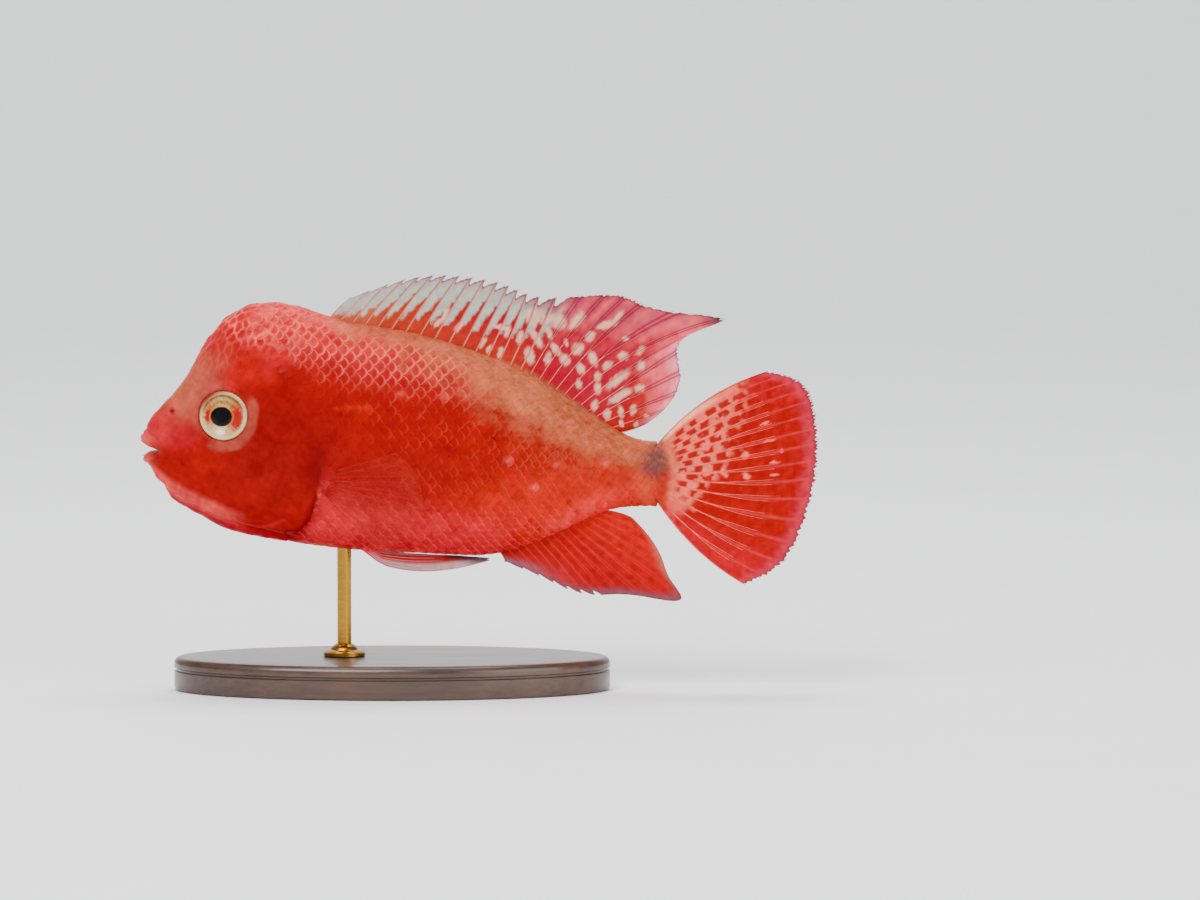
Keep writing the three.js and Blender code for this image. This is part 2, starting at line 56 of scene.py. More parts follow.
# Sections of the flesh: back x, z, belly x, z, half width, waist share, roundness of back and belly
SECTIONS = [
    [-80.8, 58.3, -80.8, 57.6, 1.0, 0.50, 2.0, 2.0],
    [-80.4, 60.3, -80.0, 55.6, 2.9, 0.50, 2.2, 2.2],
    [-78.6, 64.4, -77.4, 51.5, 4.6, 0.48, 2.2, 2.2],
    [-75.0, 68.7, -73.8, 46.5, 6.3, 0.46, 2.1, 2.2],
    [-70.9, 73.4, -69.8, 43.7, 7.9, 0.45, 2.1, 2.2],
    [-67.3, 79.1, -65.5, 41.4, 9.2, 0.45, 2.1, 2.2],
    [-63.6, 85.1, -61.0, 38.9, 10.3, 0.46, 2.3, 2.1],
    [-58.8, 90.0, -55.6, 37.3, 11.2, 0.46, 2.4, 2.0],
    [-51.9, 92.3, -48.6, 36.0, 12.1, 0.47, 2.4, 2.0],
    [-42.9, 91.2, -40.5, 34.8, 12.6, 0.48, 2.2, 2.1],
    [-32.1, 88.1, -31.0, 33.7, 12.5, 0.50, 2.0, 2.2],
    [-19.0, 85.7, -19.0, 33.0, 12.0, 0.51, 1.9, 2.2],
    [-6.0, 82.4, -7.1, 32.4, 11.0, 0.51, 1.9, 2.1],
    [8.3, 76.9, 4.8, 32.8, 9.3, 0.51, 1.9, 2.0],
    [21.4, 69.6, 17.9, 37.4, 7.1, 0.51, 1.9, 1.9],
    [31.6, 62.6, 29.3, 42.6, 5.0, 0.51, 1.9, 1.9],
    [37.9, 59.7, 37.6, 43.9, 3.5, 0.51, 2.0, 2.0],
    [42.0, 59.2, 42.2, 43.9, 2.0, 0.51, 2.0, 2.0],
]
LAST = len(SECTIONS) - 1
HUMP_SWELL = {"start": 4.0, "end": 10.0, "amount": 0.16, "level": 0.80, "spread": 0.16}

# Fins: root line, tips keyed by ray number, and the angle at which a ray leaves the root
DORSAL = {
    "spines": 16, "rays": 28,
    "root": [[0, -35.6, 88.9], [5, -21, 86], [10, -4, 81.8], [15, 9.6, 76.2], [21, 22, 69.2],
             [27, 33.9, 61.4]],
    "tips": [[0, -30.5, 93.7], [3, -17.6, 98.0], [7, -4.8, 98.8], [11, 6.9, 96.4], [15, 18.3, 93.7],
             [18, 34.8, 93.9], [20, 46.9, 90.2], [21, 58.2, 88.5], [22, 51.0, 85.3], [24, 47.9, 75.8],
             [26, 43.6, 66.6], [27, 39.4, 63.4]],
    "root_angle": [[0, 52], [8, 62], [15, 62], [21, 46], [27, 12]],
}
ANAL = {
    "spines": 7, "rays": 16,
    "root": [[0, 5.0, 32.9], [8, 18.8, 37.9], [15, 30.0, 42.9]],
    "tips": [[0, 5.9, 30.4], [2, 14.0, 27.2], [4, 20.9, 24.0], [6, 27.4, 22.6], [9, 38.6, 22.2],
             [11, 48.0, 22.1], [12, 45.2, 26.6], [13, 43.4, 31.2], [14, 40.6, 36.2], [15, 36.4, 41.0]],
    "root_angle": [[0, -42], [6, -46], [11, -34], [15, -4]],
}
CAUDAL = {
    "spines": 0, "rays": 16,
    "root": [[0, 42.6, 59.0], [8, 43.8, 51.5], [15, 42.8, 44.1]],
    "tips": [[0, 68.6, 76.0], [2, 76.0, 73.9], [5, 80.0, 66.0], [8, 80.6, 55.0], [11, 77.6, 40.4],
             [13, 72.2, 30.2], [15, 63.1, 25.1]],
    "root_angle": [[0, 52], [8, 0], [15, -58]],
}
PECTORAL = {"spines": 0, "rays": 11, "x": -35.6, "top": 52.6, "bottom": 46.6, "length": 25.0,
            "fan": (16, -42), "flare": 24}
PELVIC = {"spines": 0, "rays": 6, "x": -28.2, "y": 2.6, "length": 30.5, "spread": 5.4}

# Lines of the head in side view, [x, z]
GILL_EDGE = [[-51.0, 70.6], [-44.8, 71.7], [-39.9, 68.6], [-37.9, 57.2], [-38.3, 47.7], [-40.2, 41.6],
             [-43.4, 38.0], [-48.5, 37.6], [-56.0, 40.6], [-57.6, 43.0], [-53.8, 50.6], [-52.8, 60.0]]
CHEEK_LINE = [[-51.6, 69.6], [-53.2, 60.0], [-54.6, 51.0], [-58.6, 45.4], [-65.0, 46.6]]
OPERCLE_SEAM = [[-60.5, 42.3], [-57.0, 40.5], [-53.1, 39.5], [-49.5, 39.8], [-46.4, 41.2]]
CHIN_BAND = [[-78.6, 52.4], [-73.2, 48.2], [-66.4, 44.9], [-60.6, 42.2], [-56.0, 41.0]]
THROAT_FOLD = [[-76.4, 49.6], [-71.2, 45.6], [-66.2, 43.4], [-60.2, 40.6], [-52.5, 38.3], [-46.0, 37.2]]
LIP_CREASE = [[-79.6, 62.6], [-77.2, 60.4], [-75.2, 58.0], [-74.6, 56.4]]
MOUTH_GAP = [[-75.7, 57.2], [-78.4, 58.3], [-80.2, 59.3], [-84, 60.0], [-84, 55.0], [-80.1, 56.0],
             [-78.1, 56.9]]
UPPER_LIP = {"front": (-79.75, 60.3), "corner": (-75.7, 58.0), "half_width": 4.8, "radius": 1.1}
LOWER_LIP = {"front": (-79.2, 55.1), "corner": (-75.6, 56.6), "half_width": 4.8, "radius": 1.05}

# Scales
SCALE_PITCH = 2.75          # along the body, between scales of one row
ROW_PITCH = 1.78            # between rows on the flank
SCALE_LENGTH = 4.3
SCALE_WIDTH = 4.1
SCALE_LIFT = 0.17           # how far a free edge stands off the skin
PATCH = 0.003               # width of each scale's patch on its baking map


# Helpers for numbers

def natural_spline(knots):
    """A smooth curve through rows of values, each row led by where on the curve it holds."""
    knots = np.array(knots, float)
    t, values = knots[:, 0], knots[:, 1:]
    count = len(t)
    system, pull = np.eye(count), np.zeros_like(values)
    for i in range(1, count - 1):
        before, after = t[i] - t[i - 1], t[i + 1] - t[i]
        system[i, i - 1:i + 2] = before, 2 * (before + after), after
        pull[i] = 6 * ((values[i + 1] - values[i]) / after - (values[i] - values[i - 1]) / before)
    second = np.linalg.solve(system, pull)

    def at(where):
        where = np.asarray(where, float)
        i = np.clip(np.searchsorted(t, where, side="left") - 1, 0, count - 2)
        step = (t[i + 1] - t[i])[..., None]
        b = (where - t[i])[..., None] / step
        a = 1 - b
        bend = (a ** 3 - a) * second[i] + (b ** 3 - b) * second[i + 1]
        return a * values[i] + b * values[i + 1] + bend * step ** 2 / 6
    return at


def smoothstep(value, low, high):
    """0 below the low mark and 1 above the high one, with a soft slope between them."""
    share = np.clip((np.asarray(value, float) - low) / (high - low), 0, 1)
    return share * share * (3 - 2 * share)


def falling(value, low, high):
    """1 below the low mark and 0 above the high one, with a soft slope between them."""
    return smoothstep(-value, -high, -low)


def bell(distance, width):
    """1 at no distance, fading out on both sides."""
    return np.exp(-(distance / width) ** 2)


def mix(a, b, share):
    return a + (b - a) * share


def smooth_path(points, steps=8, closed=False):
    """A curve through points in side view, with so many steps from each point to the next."""
    points = np.array(points, float)
    if closed:
        points = np.vstack([points[-3:], points, points[:3]])
    curve = natural_spline(np.column_stack([np.arange(len(points)), points]))
    low, high = (3, len(points) - 3) if closed else (0, len(points) - 1)
    return curve(np.linspace(low, high, (high - low) * steps + 1))


def distance_to(x, z, path):
    """The shortest way to a path in side view."""
    best = np.full(np.shape(x), FAR)
    for (ax, az), (bx, bz) in zip(path[:-1], path[1:]):
        length = (bx - ax) ** 2 + (bz - az) ** 2
        share = np.clip(((x - ax) * (bx - ax) + (z - az) * (bz - az)) / length, 0, 1)
        best = np.minimum(best, np.hypot(x - ax - share * (bx - ax), z - az - share * (bz - az)))
    return best


def inside(x, z, path):
    """Whether a place lies inside a closed path in side view."""
    odd = np.zeros(np.shape(x), bool)
    for (ax, az), (bx, bz) in zip(path[:-1], path[1:]):
        if az != bz:
            odd ^= ((az > z) != (bz > z)) & (x < (bx - ax) * (z - az) / (bz - az) + ax)
    return odd


def ripple(points, wavelength, seed):
    """Smooth mottling between about -1 and 1, the same on every run."""
    waves, usual_height = 9, 3.2
    draw = np.random.default_rng(seed)
    total = 0
    for _ in range(waves):
        turn = draw.normal(size=3)
        turn *= 2 * math.pi / (wavelength * draw.uniform(0.7, 1.4) * np.linalg.norm(turn))
        total = total + np.sin(points @ turn + draw.uniform(0, 6.28))
    return total / usual_height


# The flesh as one smooth form

section = natural_spline([[i, *row] for i, row in enumerate(SECTIONS)])


def flesh_point(t, angle):
    """The skin's place at a station along the body and at an angle round it, counted from the back."""
    t, angle = np.broadcast_arrays(np.asarray(t, float), np.asarray(angle, float))
    back_x, back_z, belly_x, belly_z, half, waist, back_round, belly_round = np.moveaxis(section(t), -1, 0)
    c, s = np.cos(angle), np.sin(angle)
    upper = c >= 0
    centre_x, centre_z = mix(belly_x, back_x, waist), mix(belly_z, back_z, waist)
    reach_x = np.where(upper, back_x, belly_x) - centre_x
    reach_z = np.where(upper, back_z, belly_z) - centre_z
    power = 2 / np.where(upper, back_round, belly_round)
    share = np.abs(c) ** power
    along = np.clip((t - HUMP_SWELL["start"]) / (HUMP_SWELL["end"] - HUMP_SWELL["start"]), 0, 1)
    near = (share - HUMP_SWELL["level"]) / HUMP_SWELL["spread"]
    swell = 1 + HUMP_SWELL["amount"] * np.sin(math.pi * along) ** 2 * np.exp(-near * near) * (c > 0)
    y = np.sign(s) * np.abs(s) ** power * half * swell
    return np.stack([centre_x + reach_x * share, y, centre_z + reach_z * share], -1)


def unit(vectors):
    return vectors / np.maximum(np.linalg.norm(vectors, axis=-1, keepdims=True), 1e-9)


def flesh_normal(t, angle):
    step, turn = 0.03, 0.02
    along = flesh_point(np.minimum(t + step, LAST), angle) - flesh_point(np.maximum(t - step, 0), angle)
    around = flesh_point(t, angle + turn) - flesh_point(t, angle - turn)
    return unit(np.cross(along, around))


def flank(x, z):
    """The point and outward normal of the left flank at a place in side view."""
    stations, angles = np.linspace(0, LAST, 900), np.linspace(math.pi * 1.02, math.pi * 1.98, 400)
    t, angle = np.meshgrid(stations, angles, indexing="ij")
    p = flesh_point(t, angle)
    best = np.unravel_index(np.argmin(np.hypot(p[..., 0] - x, p[..., 2] - z)), t.shape)
    return p[best], flesh_normal(t[best], angle[best])


GILL_PATH = smooth_path(GILL_EDGE, closed=True)
CHEEK_PATH, SEAM_PATH, CHIN_PATH = smooth_path(CHEEK_LINE), smooth_path(OPERCLE_SEAM), smooth_path(CHIN_BAND)
FOLD_PATH, LIP_PATH = smooth_path(THROAT_FOLD), smooth_path(LIP_CREASE)
PORES = [(-76.6, 63.6), (-74.8, 61.6), (-72.6, 59.6), (-70.0, 58.4), (-67.2, 57.6), (-75.6, 51.6),
         (-72.0, 48.9), (-68.2, 47.2), (-70.8, 70.4), (-67.4, 73.8), (-63.2, 75.6)]


def eye_place(points):
    """Distance from the eye's middle in side view."""
    return np.hypot(points[..., 0] - EYE["x"], points[..., 2] - EYE["z"])


def cover_depth(points):
    """Signed distance from the gill cover's edge, positive outside it."""
    x, z = points[..., 0], points[..., 2]
    return distance_to(x, z, GILL_PATH) * np.where(inside(x, z, GILL_PATH), -1, 1)


def relief(points):
    """How far the skin stands off the smooth form, from the folds and openings of the head."""
    x, z = points[..., 0], points[..., 2]
    edge, eye = cover_depth(points), eye_place(points)
    # The gill cover's raised free edge, with a groove behind it, and the lines on the cover
    rear = smoothstep(x, -52, -45) * falling(z, 54, 66)
    out = 0.55 * falling(edge, -1.6, 0.2) * (0.2 + 0.8 * rear)
    out -= 0.34 * bell(edge - 0.5, 0.5) * rear
    out -= 0.12 * bell(distance_to(x, z, CHEEK_PATH), 1.0)
    out -= 0.10 * bell(distance_to(x, z, SEAM_PATH) - 0.4, 0.7)
    # The throat's fold and the crease behind the lips
    fold = distance_to(x, z, FOLD_PATH)
    out -= 0.50 * bell(fold, 0.55)
    out += 0.22 * bell(fold - 1.3, 0.9) * (x < -46)
    out -= 0.30 * bell(distance_to(x, z, LIP_PATH), 0.5)
    # The eye's raised rim and its socket, the nostril and the pores
    out += 0.26 * bell(eye - 7.1, 0.9) - 0.07 * bell(eye - 9.0, 0.9)
    out -= 1.5 * falling(eye, 5.4, 6.2)
    pit = np.hypot(x - NOSTRIL["x"], z - NOSTRIL["z"]) / NOSTRIL["radius"]
    out += 0.16 * bell(pit - 1.7, 0.6) - 0.8 * falling(pit, 0.4, 1.35)
    for px, pz in PORES:
        out -= 0.22 * bell(np.hypot(x - px, z - pz), 0.36)
    # Uneven skin, strongest on the hump
    head = falling(x, -44, -38) * smoothstep(eye, 7.6, 9.0)
    bulge = smoothstep(z, 76, 82) * head
    uneven = 0.24 * ripple(points, 6.5, 5) + 0.08 * ripple(points, 2.2, 6)
    out += head * 0.07 * ripple(points, 3.2, 4) + bulge * uneven
    return out + 0.02 * ripple(points, 1.5, 7)


# Colours, given as a person would read them off a screen

# The standard view softens strong light. These turn a colour as it should be seen into the light that
# shows it.
VIEW_BLEND = np.array([[0.509, 0.347, 0.144], [0.150, 0.791, 0.059], [0.122, 0.207, 0.671]])
VIEW_PART = np.array([[2.544, -1.081, -0.463], [-0.478, 1.684, -0.206], [-0.288, -0.302, 1.590]])
DAYLIGHT = 2.2              # light that falls on the flank


def paint(red, green, blue):
    """The surface colour that shows as this colour of a screen, from 0 to 255, in the studio's light."""
    screen = np.array([red, green, blue], float) / 255
    seen = VIEW_BLEND @ np.where(screen <= 0.04045, screen / 12.92, ((screen + 0.055) / 1.055) ** 2.4)
    light = 0.882 * seen ** 0.912 * np.exp(3.352 * seen ** 2 - 0.599 * seen)
    return np.clip(VIEW_PART @ light / DAYLIGHT, 0, 0.95)


RED = paint(192, 26, 0)
DEEP_RED = paint(168, 16, 0)
SCARLET = paint(206, 44, 4)
ORANGE = paint(228, 84, 26)
ROSE = paint(224, 78, 74)
PINK = paint(238, 128, 118)
PALE_ROSE = paint(236, 158, 146)
CRIMSON = paint(206, 20, 48)
DUSTY = paint(204, 106, 90)
TAN = paint(214, 156, 124)
BROWN = paint(164, 84, 46)
MAROON = paint(120, 4, 16)
SMUDGE = paint(104, 72, 76)


def washed(base, colour, share):
    """A colour with a share of another washed over it at each place."""
    return mix(base, colour, np.clip(share, 0, 1)[..., None])


def layered(base, *layers):
    """A colour with others washed over it in turn. Each layer is a colour and how much of it shows."""
    for colour, share in layers:
        base = washed(base, colour, share)
    return base


def oval(x, z, centre, radii, tilt=0.0, soft=0.45):
    """1 inside a tilted oval in side view, fading out over its rim."""
    c, s = math.cos(math.radians(tilt)), math.sin(math.radians(tilt))
    u, v = x - centre[0], z - centre[1]
    reach = np.hypot((u * c + v * s) / radii[0], (v * c - u * s) / radii[1])
    return falling(reach, 1 - soft, 1 + soft)


# Heights of the back and the belly at a place along the body, and where these lines hold
back_line = natural_spline([[row[0], row[1]] for row in SECTIONS])
belly_line = natural_spline([[row[2], row[3]] for row in SECTIONS[1:]])
BACK_SPAN = (-80, 41)
BELLY_SPAN = (-79, 42)

# Single pale marks of the left flank in side view
PALE_MARKS = [(6.7, 55.6), (18.3, 54.4), (12.6, 48.9), (-18.6, 71.3), (-8.1, 70.6), (29.8, 54.6)]
SCRATCH = [[-33.8, 67.8], [-29.5, 68.2], [-25.7, 67.9]]


def back_height(x):
    """The height of the back's line at a place along the body."""
    return back_line(np.clip(x, *BACK_SPAN))[..., 0]


def body_depth(points):
    """How far down the body a place is in side view, 0 at the back and 1 at the belly."""
    x, z = points[..., 0], points[..., 2]
    back, belly = back_height(x), belly_line(np.clip(x, *BELLY_SPAN))[..., 0]
    return (back - z) / np.maximum(back - belly, 1)


def nape_front(z):
    """Where the scales of the nape begin, at a height."""
    return np.interp(z, [70, 78, 86, 95], [-38, -47, -54, -56])


def trunk_layers(x, z, depth, edge, blotch, fine, speck):
    """Red flank, orange rear belly, rosy breast and nape, and the dusky band along the back."""
    lower = smoothstep(depth, 0.50, 0.80)
    off_cover = smoothstep(edge, 0, 0.8)
    breast = smoothstep(depth, 0.70, 0.92) * smoothstep(x, -50, -40) * falling(x, -4, 16) * off_cover
    nape = falling(depth, 0.09, 0.27) * smoothstep(x, -64, -52) * falling(x, -16, 6)
    pale_nape = falling(depth, 0.04, 0.15) * smoothstep(x, -58, -50) * falling(x, -26, -6)
    limit = 0.045 + 0.36 * smoothstep(x, -26, 34) + 0.020 * blotch
    band = smoothstep(limit - depth + 0.04 * fine + 0.06 * speck, -0.11, 0.07) * smoothstep(x, -40, -32)
    band_colour = washed(mix(TAN, DUSTY, 0.20), BROWN, 0.26 + 0.40 * speck + 0.15 * fine)
    shaded_back = oval(x, z, (24, 68.5), (11, 4.5), -33, 0.7)
    brown_rear = oval(x, z, (27, 57.5), (18, 8.5), -18, 0.8)
    return [
        (DEEP_RED, oval(x, z, (-47, 60), (12, 11), 0, 0.7) * 0.8),
        (SCARLET, smoothstep(x, -24, 12) * (0.30 + 0.6 * lower + 0.15 * blotch)),
        (ORANGE, oval(x, z, (18, 45.0), (27, 8), 16, 0.7) * (0.70 + 0.25 * fine)),
        (PINK, oval(x, z, (24, 42.5), (13, 2.6), 30, 0.7) * (0.45 + 0.15 * fine)),
        (ROSE, breast * (0.78 + 0.15 * blotch + 0.12 * fine)),
        (PINK, breast * np.clip(0.5 * fine + 0.35 * speck, 0, 0.5)),
        (PINK, oval(x, z, (-36.5, 43), (6.5, 6), -20, 0.8) * 0.35 * off_cover),
        (mix(ROSE, RED, 0.3), nape * (0.72 + 0.25 * blotch)),
        (PINK, pale_nape * (0.34 + 0.2 * fine)),
        (band_colour, band * 0.92),
        (mix(BROWN, SMUDGE, 0.5), shaded_back * (0.22 + 0.2 * blotch)),
        (mix(BROWN, ORANGE, 0.30), brown_rear * (0.32 + 0.34 * speck + 0.3 * fine)),
        (mix(TAN, ORANGE, 0.5), oval(x, z, (39.5, 53), (3.0, 9), 4, 0.7) * (0.45 + 0.15 * speck)),
        (SMUDGE, oval(x, z, (41.2, 54.6), (3.3, 3.6), 20, 0.8) * (0.85 + 0.25 * fine)),
    ]


def head_layers(x, z, edge, eye, blotch, fine):
    """The hump, the dusky snout, the skin round the eye, the jaw and throat, and the gill cover's edge with
    painted shadow behind it.
    """
    halo = bell(np.maximum(eye - 6.8, 0), 1.5) * falling(x, -63, -57) * smoothstep(z, 60, 66)
    low_rear = smoothstep(x - EYE["x"] - 0.9 * (z - EYE["z"]), 0.5, 5.0)
    crescent = smoothstep(8.5 + 0.25 * blotch - eye, -0.3, 0.5) * low_rear
    chin = falling(distance_to(x, z, CHIN_PATH), 0.9, 2.8) * falling(x, -62, -53)
    fold_height = np.interp(x, FOLD_PATH[:, 0], FOLD_PATH[:, 1])
    throat = smoothstep(fold_height - z, 0.1, 0.8) * falling(x, -47, -43.5)
    # painted shadow in the groove behind the gill cover's free edge, over the lower part of its rear
    shade = bell(edge - 0.7, 1.2) * smoothstep(x, -47, -41) * falling(z, 55, 63)
    rear_edge = falling(z, 49, 52) * smoothstep(z, 41, 44) * smoothstep(x, -46, -43)
    return [
        (mix(ROSE, SCARLET, 0.30), oval(x, z, (-57, 84), (17, 10), 20, 0.4) * (0.75 + 0.25 * blotch)),
        (mix(ROSE, PINK, 0.25), oval(x, z, (-67, 85.5), (5.0, 11), -38, 0.5) * 0.85),
        (SCARLET, oval(x, z, (-58.5, 80.0), (8.5, 7.0), 20, 0.6) * (0.75 + 0.3 * blotch)),
        (mix(DUSTY, TAN, 0.35), oval(x, z, (-69.4, 71.8), (8.5, 5.4), 54, 0.5) * 0.88),
        (DUSTY, oval(x, z, (-64.0, 76.2), (6.5, 3.4), 46, 0.6) * (0.40 + 0.12 * blotch)),
        (mix(ROSE, DUSTY, 0.35), oval(x, z, (-76.4, 62.6), (4.6, 6.4), -36, 0.5) * 0.9),
        (mix(CRIMSON, ROSE, 0.5), oval(x, z, (-72.6, 61.0), (6.0, 3.6), -10, 0.6) * 0.5),
        (DUSTY, halo * 0.75),
        (mix(DUSTY, BROWN, 0.35), crescent * (0.80 + 0.08 * fine)),
        (RED, oval(x, z, (-72.6, 55.6), (6.2, 2.6), -16, 0.6) * 0.55),
        (mix(DUSTY, PINK, 0.45), chin * (0.86 + 0.1 * fine)),
        (CRIMSON, throat * 0.96),
        (ROSE, bell(distance_to(x, z, SEAM_PATH), 0.36) * 0.5),
        # painted shadow behind the gill cover's edge
        (MAROON, shade * 0.62),
        # painted shadow in the gill opening along the cover's lower rear edge
        (MAROON, oval(x, z, (-39.4, 53.5), (1.6, 4.5), -8, 0.8) * 0.4),
        (PALE_ROSE, bell(edge - 0.5, 0.22) * rear_edge * 0.5),
        (ROSE, oval(x, z, (-35, 45), (4.5, 6), 0, 0.7) * smoothstep(edge, 0.4, 1.2) * 0.5),
    ]


def small_layers(points, eye, fine):
    """The hump's net, the lips, painted shade in the eye's socket and the nostril's pit, and single pale
    marks, over all the rest.
    """
    x, z = points[..., 0], points[..., 2]
    upper_lip = bell(np.hypot(x + 79.9, 0.8 * (z - 59.9)), 1.7)
    lower_lip = bell(np.hypot(x + 79.6, z - 55.2), 1.7)
    layers = [
        (PALE_ROSE, hump_net(points)),
        (mix(DUSTY, PALE_ROSE, 0.55), np.maximum(upper_lip, lower_lip) * 0.85),
        # painted shade round the rim of the eye's socket
        (mix(DUSTY, DEEP_RED, 0.4), falling(eye, 6.1, 6.5) * 0.8),
        # painted shade in the nostril's pit
        (MAROON, bell(np.hypot(x - NOSTRIL["x"], z - NOSTRIL["z"]), 0.5) * 0.9),
    ]
    for mark_x, mark_z in PALE_MARKS:
        layers.append((PALE_ROSE, bell(np.hypot((x - mark_x) / 1.5, z - mark_z), 0.6) * 0.55))
    return layers + [(ORANGE, bell(distance_to(x, z, SCRATCH), 0.4) * (0.6 + 0.3 * fine))]


def flesh_colour(points):
    """The fish's markings at points in millimetres, the same for skin and scales."""
    x, z = points[..., 0], points[..., 2]
    depth, edge, eye = body_depth(points), cover_depth(points), eye_place(points)
    blotch, fine, speck = ripple(points, 5.5, 11), ripple(points, 1.7, 12), ripple(points, 0.9, 13)
    tone = layered(
        RED,
        *trunk_layers(x, z, depth, edge, blotch, fine, speck),
        *head_layers(x, z, edge, eye, blotch, fine),
        *small_layers(points, eye, fine))
    shade = 1 + 0.07 * blotch + 0.06 * fine
    return np.clip(tone * shade[..., None], 0, 1)


def hump_net(points):
    """Strength of the pale net of veins over the hump, before the scales begin."""
    x, y, z = np.moveaxis(points, -1, 0)
    bend = 12.0
    round_side = bend * np.arctan2(np.abs(y), z - (back_height(x) - bend))
    draw = np.random.default_rng(15)
    rows, columns = np.meshgrid(np.arange(10), np.arange(20), indexing="ij")
    seeds = np.stack([-74 + 1.95 * columns + 0.95 * (rows % 2), 0.6 + 2.8 * rows], -1).reshape(-1, 2)
    seeds = seeds + draw.uniform(-0.65, 0.65, seeds.shape)
    nearest = np.full(x.shape, FAR)
    second = nearest.copy()
    for seed_x, seed_round in seeds:
        away = np.hypot(x - seed_x, (round_side - seed_round) * 0.7)
        second = np.minimum(second, np.maximum(nearest, away))
        nearest = np.minimum(nearest, away)
    veins = falling(second - nearest, 0.10, 0.75)
    patch = oval(x, z, (-51, 88.5), (13.5, 6.5), -14, 0.5) * (0.62 + 0.3 * ripple(points, 5, 16))
    front = oval(x, z, (-63, 82), (7, 6), 40, 0.6) * 0.16
    return veins * np.clip(np.maximum(patch, front), 0, 1)


def scale_net(points):
    """The pale net's colour, how much of it shows between the scales' cores, and how much on their edges."""
    x, z = points[..., 0], points[..., 2]
    depth = body_depth(points)
    broken = np.clip(0.55 + 0.6 * ripple(points, 4.2, 14) + 0.25 * ripple(points, 1.6, 17), 0, 1)
    begun = smoothstep(x - nape_front(z), 1.5, 7.0)
    upper = falling(depth, 0.13, 0.34) * falling(x, -12, 10) * (0.35 + 0.65 * broken) * begun
    upper = upper * (1 - 0.85 * falling(depth, 0.03, 0.08) * smoothstep(x, -40, -30))
    lower = 0.32 * smoothstep(depth, 0.60, 0.84) * falling(x, 6, 26) * broken
    between = np.clip(np.maximum(0.95 * upper, lower), 0, 1)
    flank_edges = 0.36 * smoothstep(x, -38, -12) * np.clip(broken * 1.4 - 0.45, 0, 1)
    tail_edges = 0.42 * smoothstep(x, -6, 14) * np.clip(broken * 1.3 - 0.1, 0, 1)
    colour = layered(
        mix(ORANGE, TAN, 0.22),
        (PINK, smoothstep(depth, 0.6, 0.85) * falling(x, 8, 30)),
        (PALE_ROSE, falling(depth, 0.2, 0.42) * falling(x, -8, 14)),
        (mix(TAN, ORANGE, 0.5), falling(depth, 0.35, 0.75) * smoothstep(x, -4, 14)))
    return colour, between, np.maximum(flank_edges, tail_edges)


# Helpers for meshes

def grid_faces(rows, columns, wrap=False):
    """Faces between rows of points. With wrap, each row closes on itself."""
    r, c = np.meshgrid(np.arange(rows - 1), np.arange(columns if wrap else columns - 1), indexing="ij")
    a, b = r * columns + c, r * columns + (c + 1) % columns
    return np.stack([a, b, b + columns, a + columns], -1).reshape(-1, 4)


def tube_faces(rings, sides):
    """Faces of a tube of rings of points, with both ends closed."""
    count = rings * sides
    faces = grid_faces(rings, sides, wrap=True).tolist()
    return faces + [list(range(sides))[::-1], list(range(count - sides, count))]


def new_object(name, points, faces, edges=()):
    """A mesh object from points in millimetres."""
    mesh = bpy.data.meshes.new(name)
    places = (np.asarray(points).reshape(-1, 3) * MM).tolist()
    mesh.from_pydata(places, list(edges), [list(face) for face in faces])
    mesh.update()
    made = bpy.data.objects.new(name, mesh)
    bpy.context.scene.collection.objects.link(made)
    return made


def face_outwards(made):
    shape = bmesh.new()
    shape.from_mesh(made.data)
    bmesh.ops.remove_doubles(shape, verts=shape.verts, dist=1e-7)
    bmesh.ops.recalc_face_normals(shape, faces=shape.faces)
    shape.to_mesh(made.data)
    shape.free()


def shade_smooth(made, sharp_angle=None):
    made.data.shade_smooth()
    if sharp_angle:
        made.data.set_sharp_from_angle(angle=math.radians(sharp_angle))


def points_of(mesh):
    flat = np.empty(len(mesh.vertices) * 3, np.float32)
    mesh.vertices.foreach_get("co", flat)
    return flat.reshape(-1, 3).astype(float) / MM


def store_tint(mesh, colour, alpha=1.0):
    values = np.ones((len(mesh.vertices), 4), np.float32)
    values[:, :3] = colour
    values[:, 3] = alpha
    mesh.color_attributes.new("tint", "FLOAT_COLOR", "POINT").data.foreach_set("color", values.ravel())


def store_number(mesh, name, values):
    flat = np.asarray(values, np.float32).ravel()
    mesh.attributes.new(name, "FLOAT", "POINT").data.foreach_set("value", flat)


def store_vector(mesh, name, values):
    flat = np.asarray(values, np.float32).ravel()
    mesh.attributes.new(name, "FLOAT_VECTOR", "POINT").data.foreach_set("vector", flat)


def read_number(mesh, name):
    flat = np.empty(len(mesh.vertices), np.float32)
    mesh.attributes[name].data.foreach_get("value", flat)
    return flat.astype(float)


def read_vector(mesh, name):
    flat = np.empty(len(mesh.vertices) * 3, np.float32)
    mesh.attributes[name].data.foreach_get("vector", flat)
    return flat.reshape(-1, 3).astype(float)


def revolve(name, profile, centre, sides=96):
    """A closed turned piece. Its profile is radius and height, from the foot's middle to the top's."""
    turn = np.linspace(0, 2 * math.pi, sides, endpoint=False)
    ring = np.stack([np.cos(turn), np.sin(turn)], -1)
    rings = [np.column_stack([ring * radius, np.full(sides, height)]) for radius, height in profile]
    made = new_object(name, np.concatenate(rings) + np.array([*centre, 0]), tube_faces(len(rings), sides))
    face_outwards(made)
    shade_smooth(made, 35)
    return made


# Helpers for materials

def new_material(name, **sockets):
    material = bpy.data.materials.new(name)
    material.use_nodes = True
    shader = material.node_tree.nodes["Principled BSDF"]
    for socket, value in sockets.items():
        shader.inputs[socket.replace("_", " ")].default_value = value
    return material, material.node_tree, shader


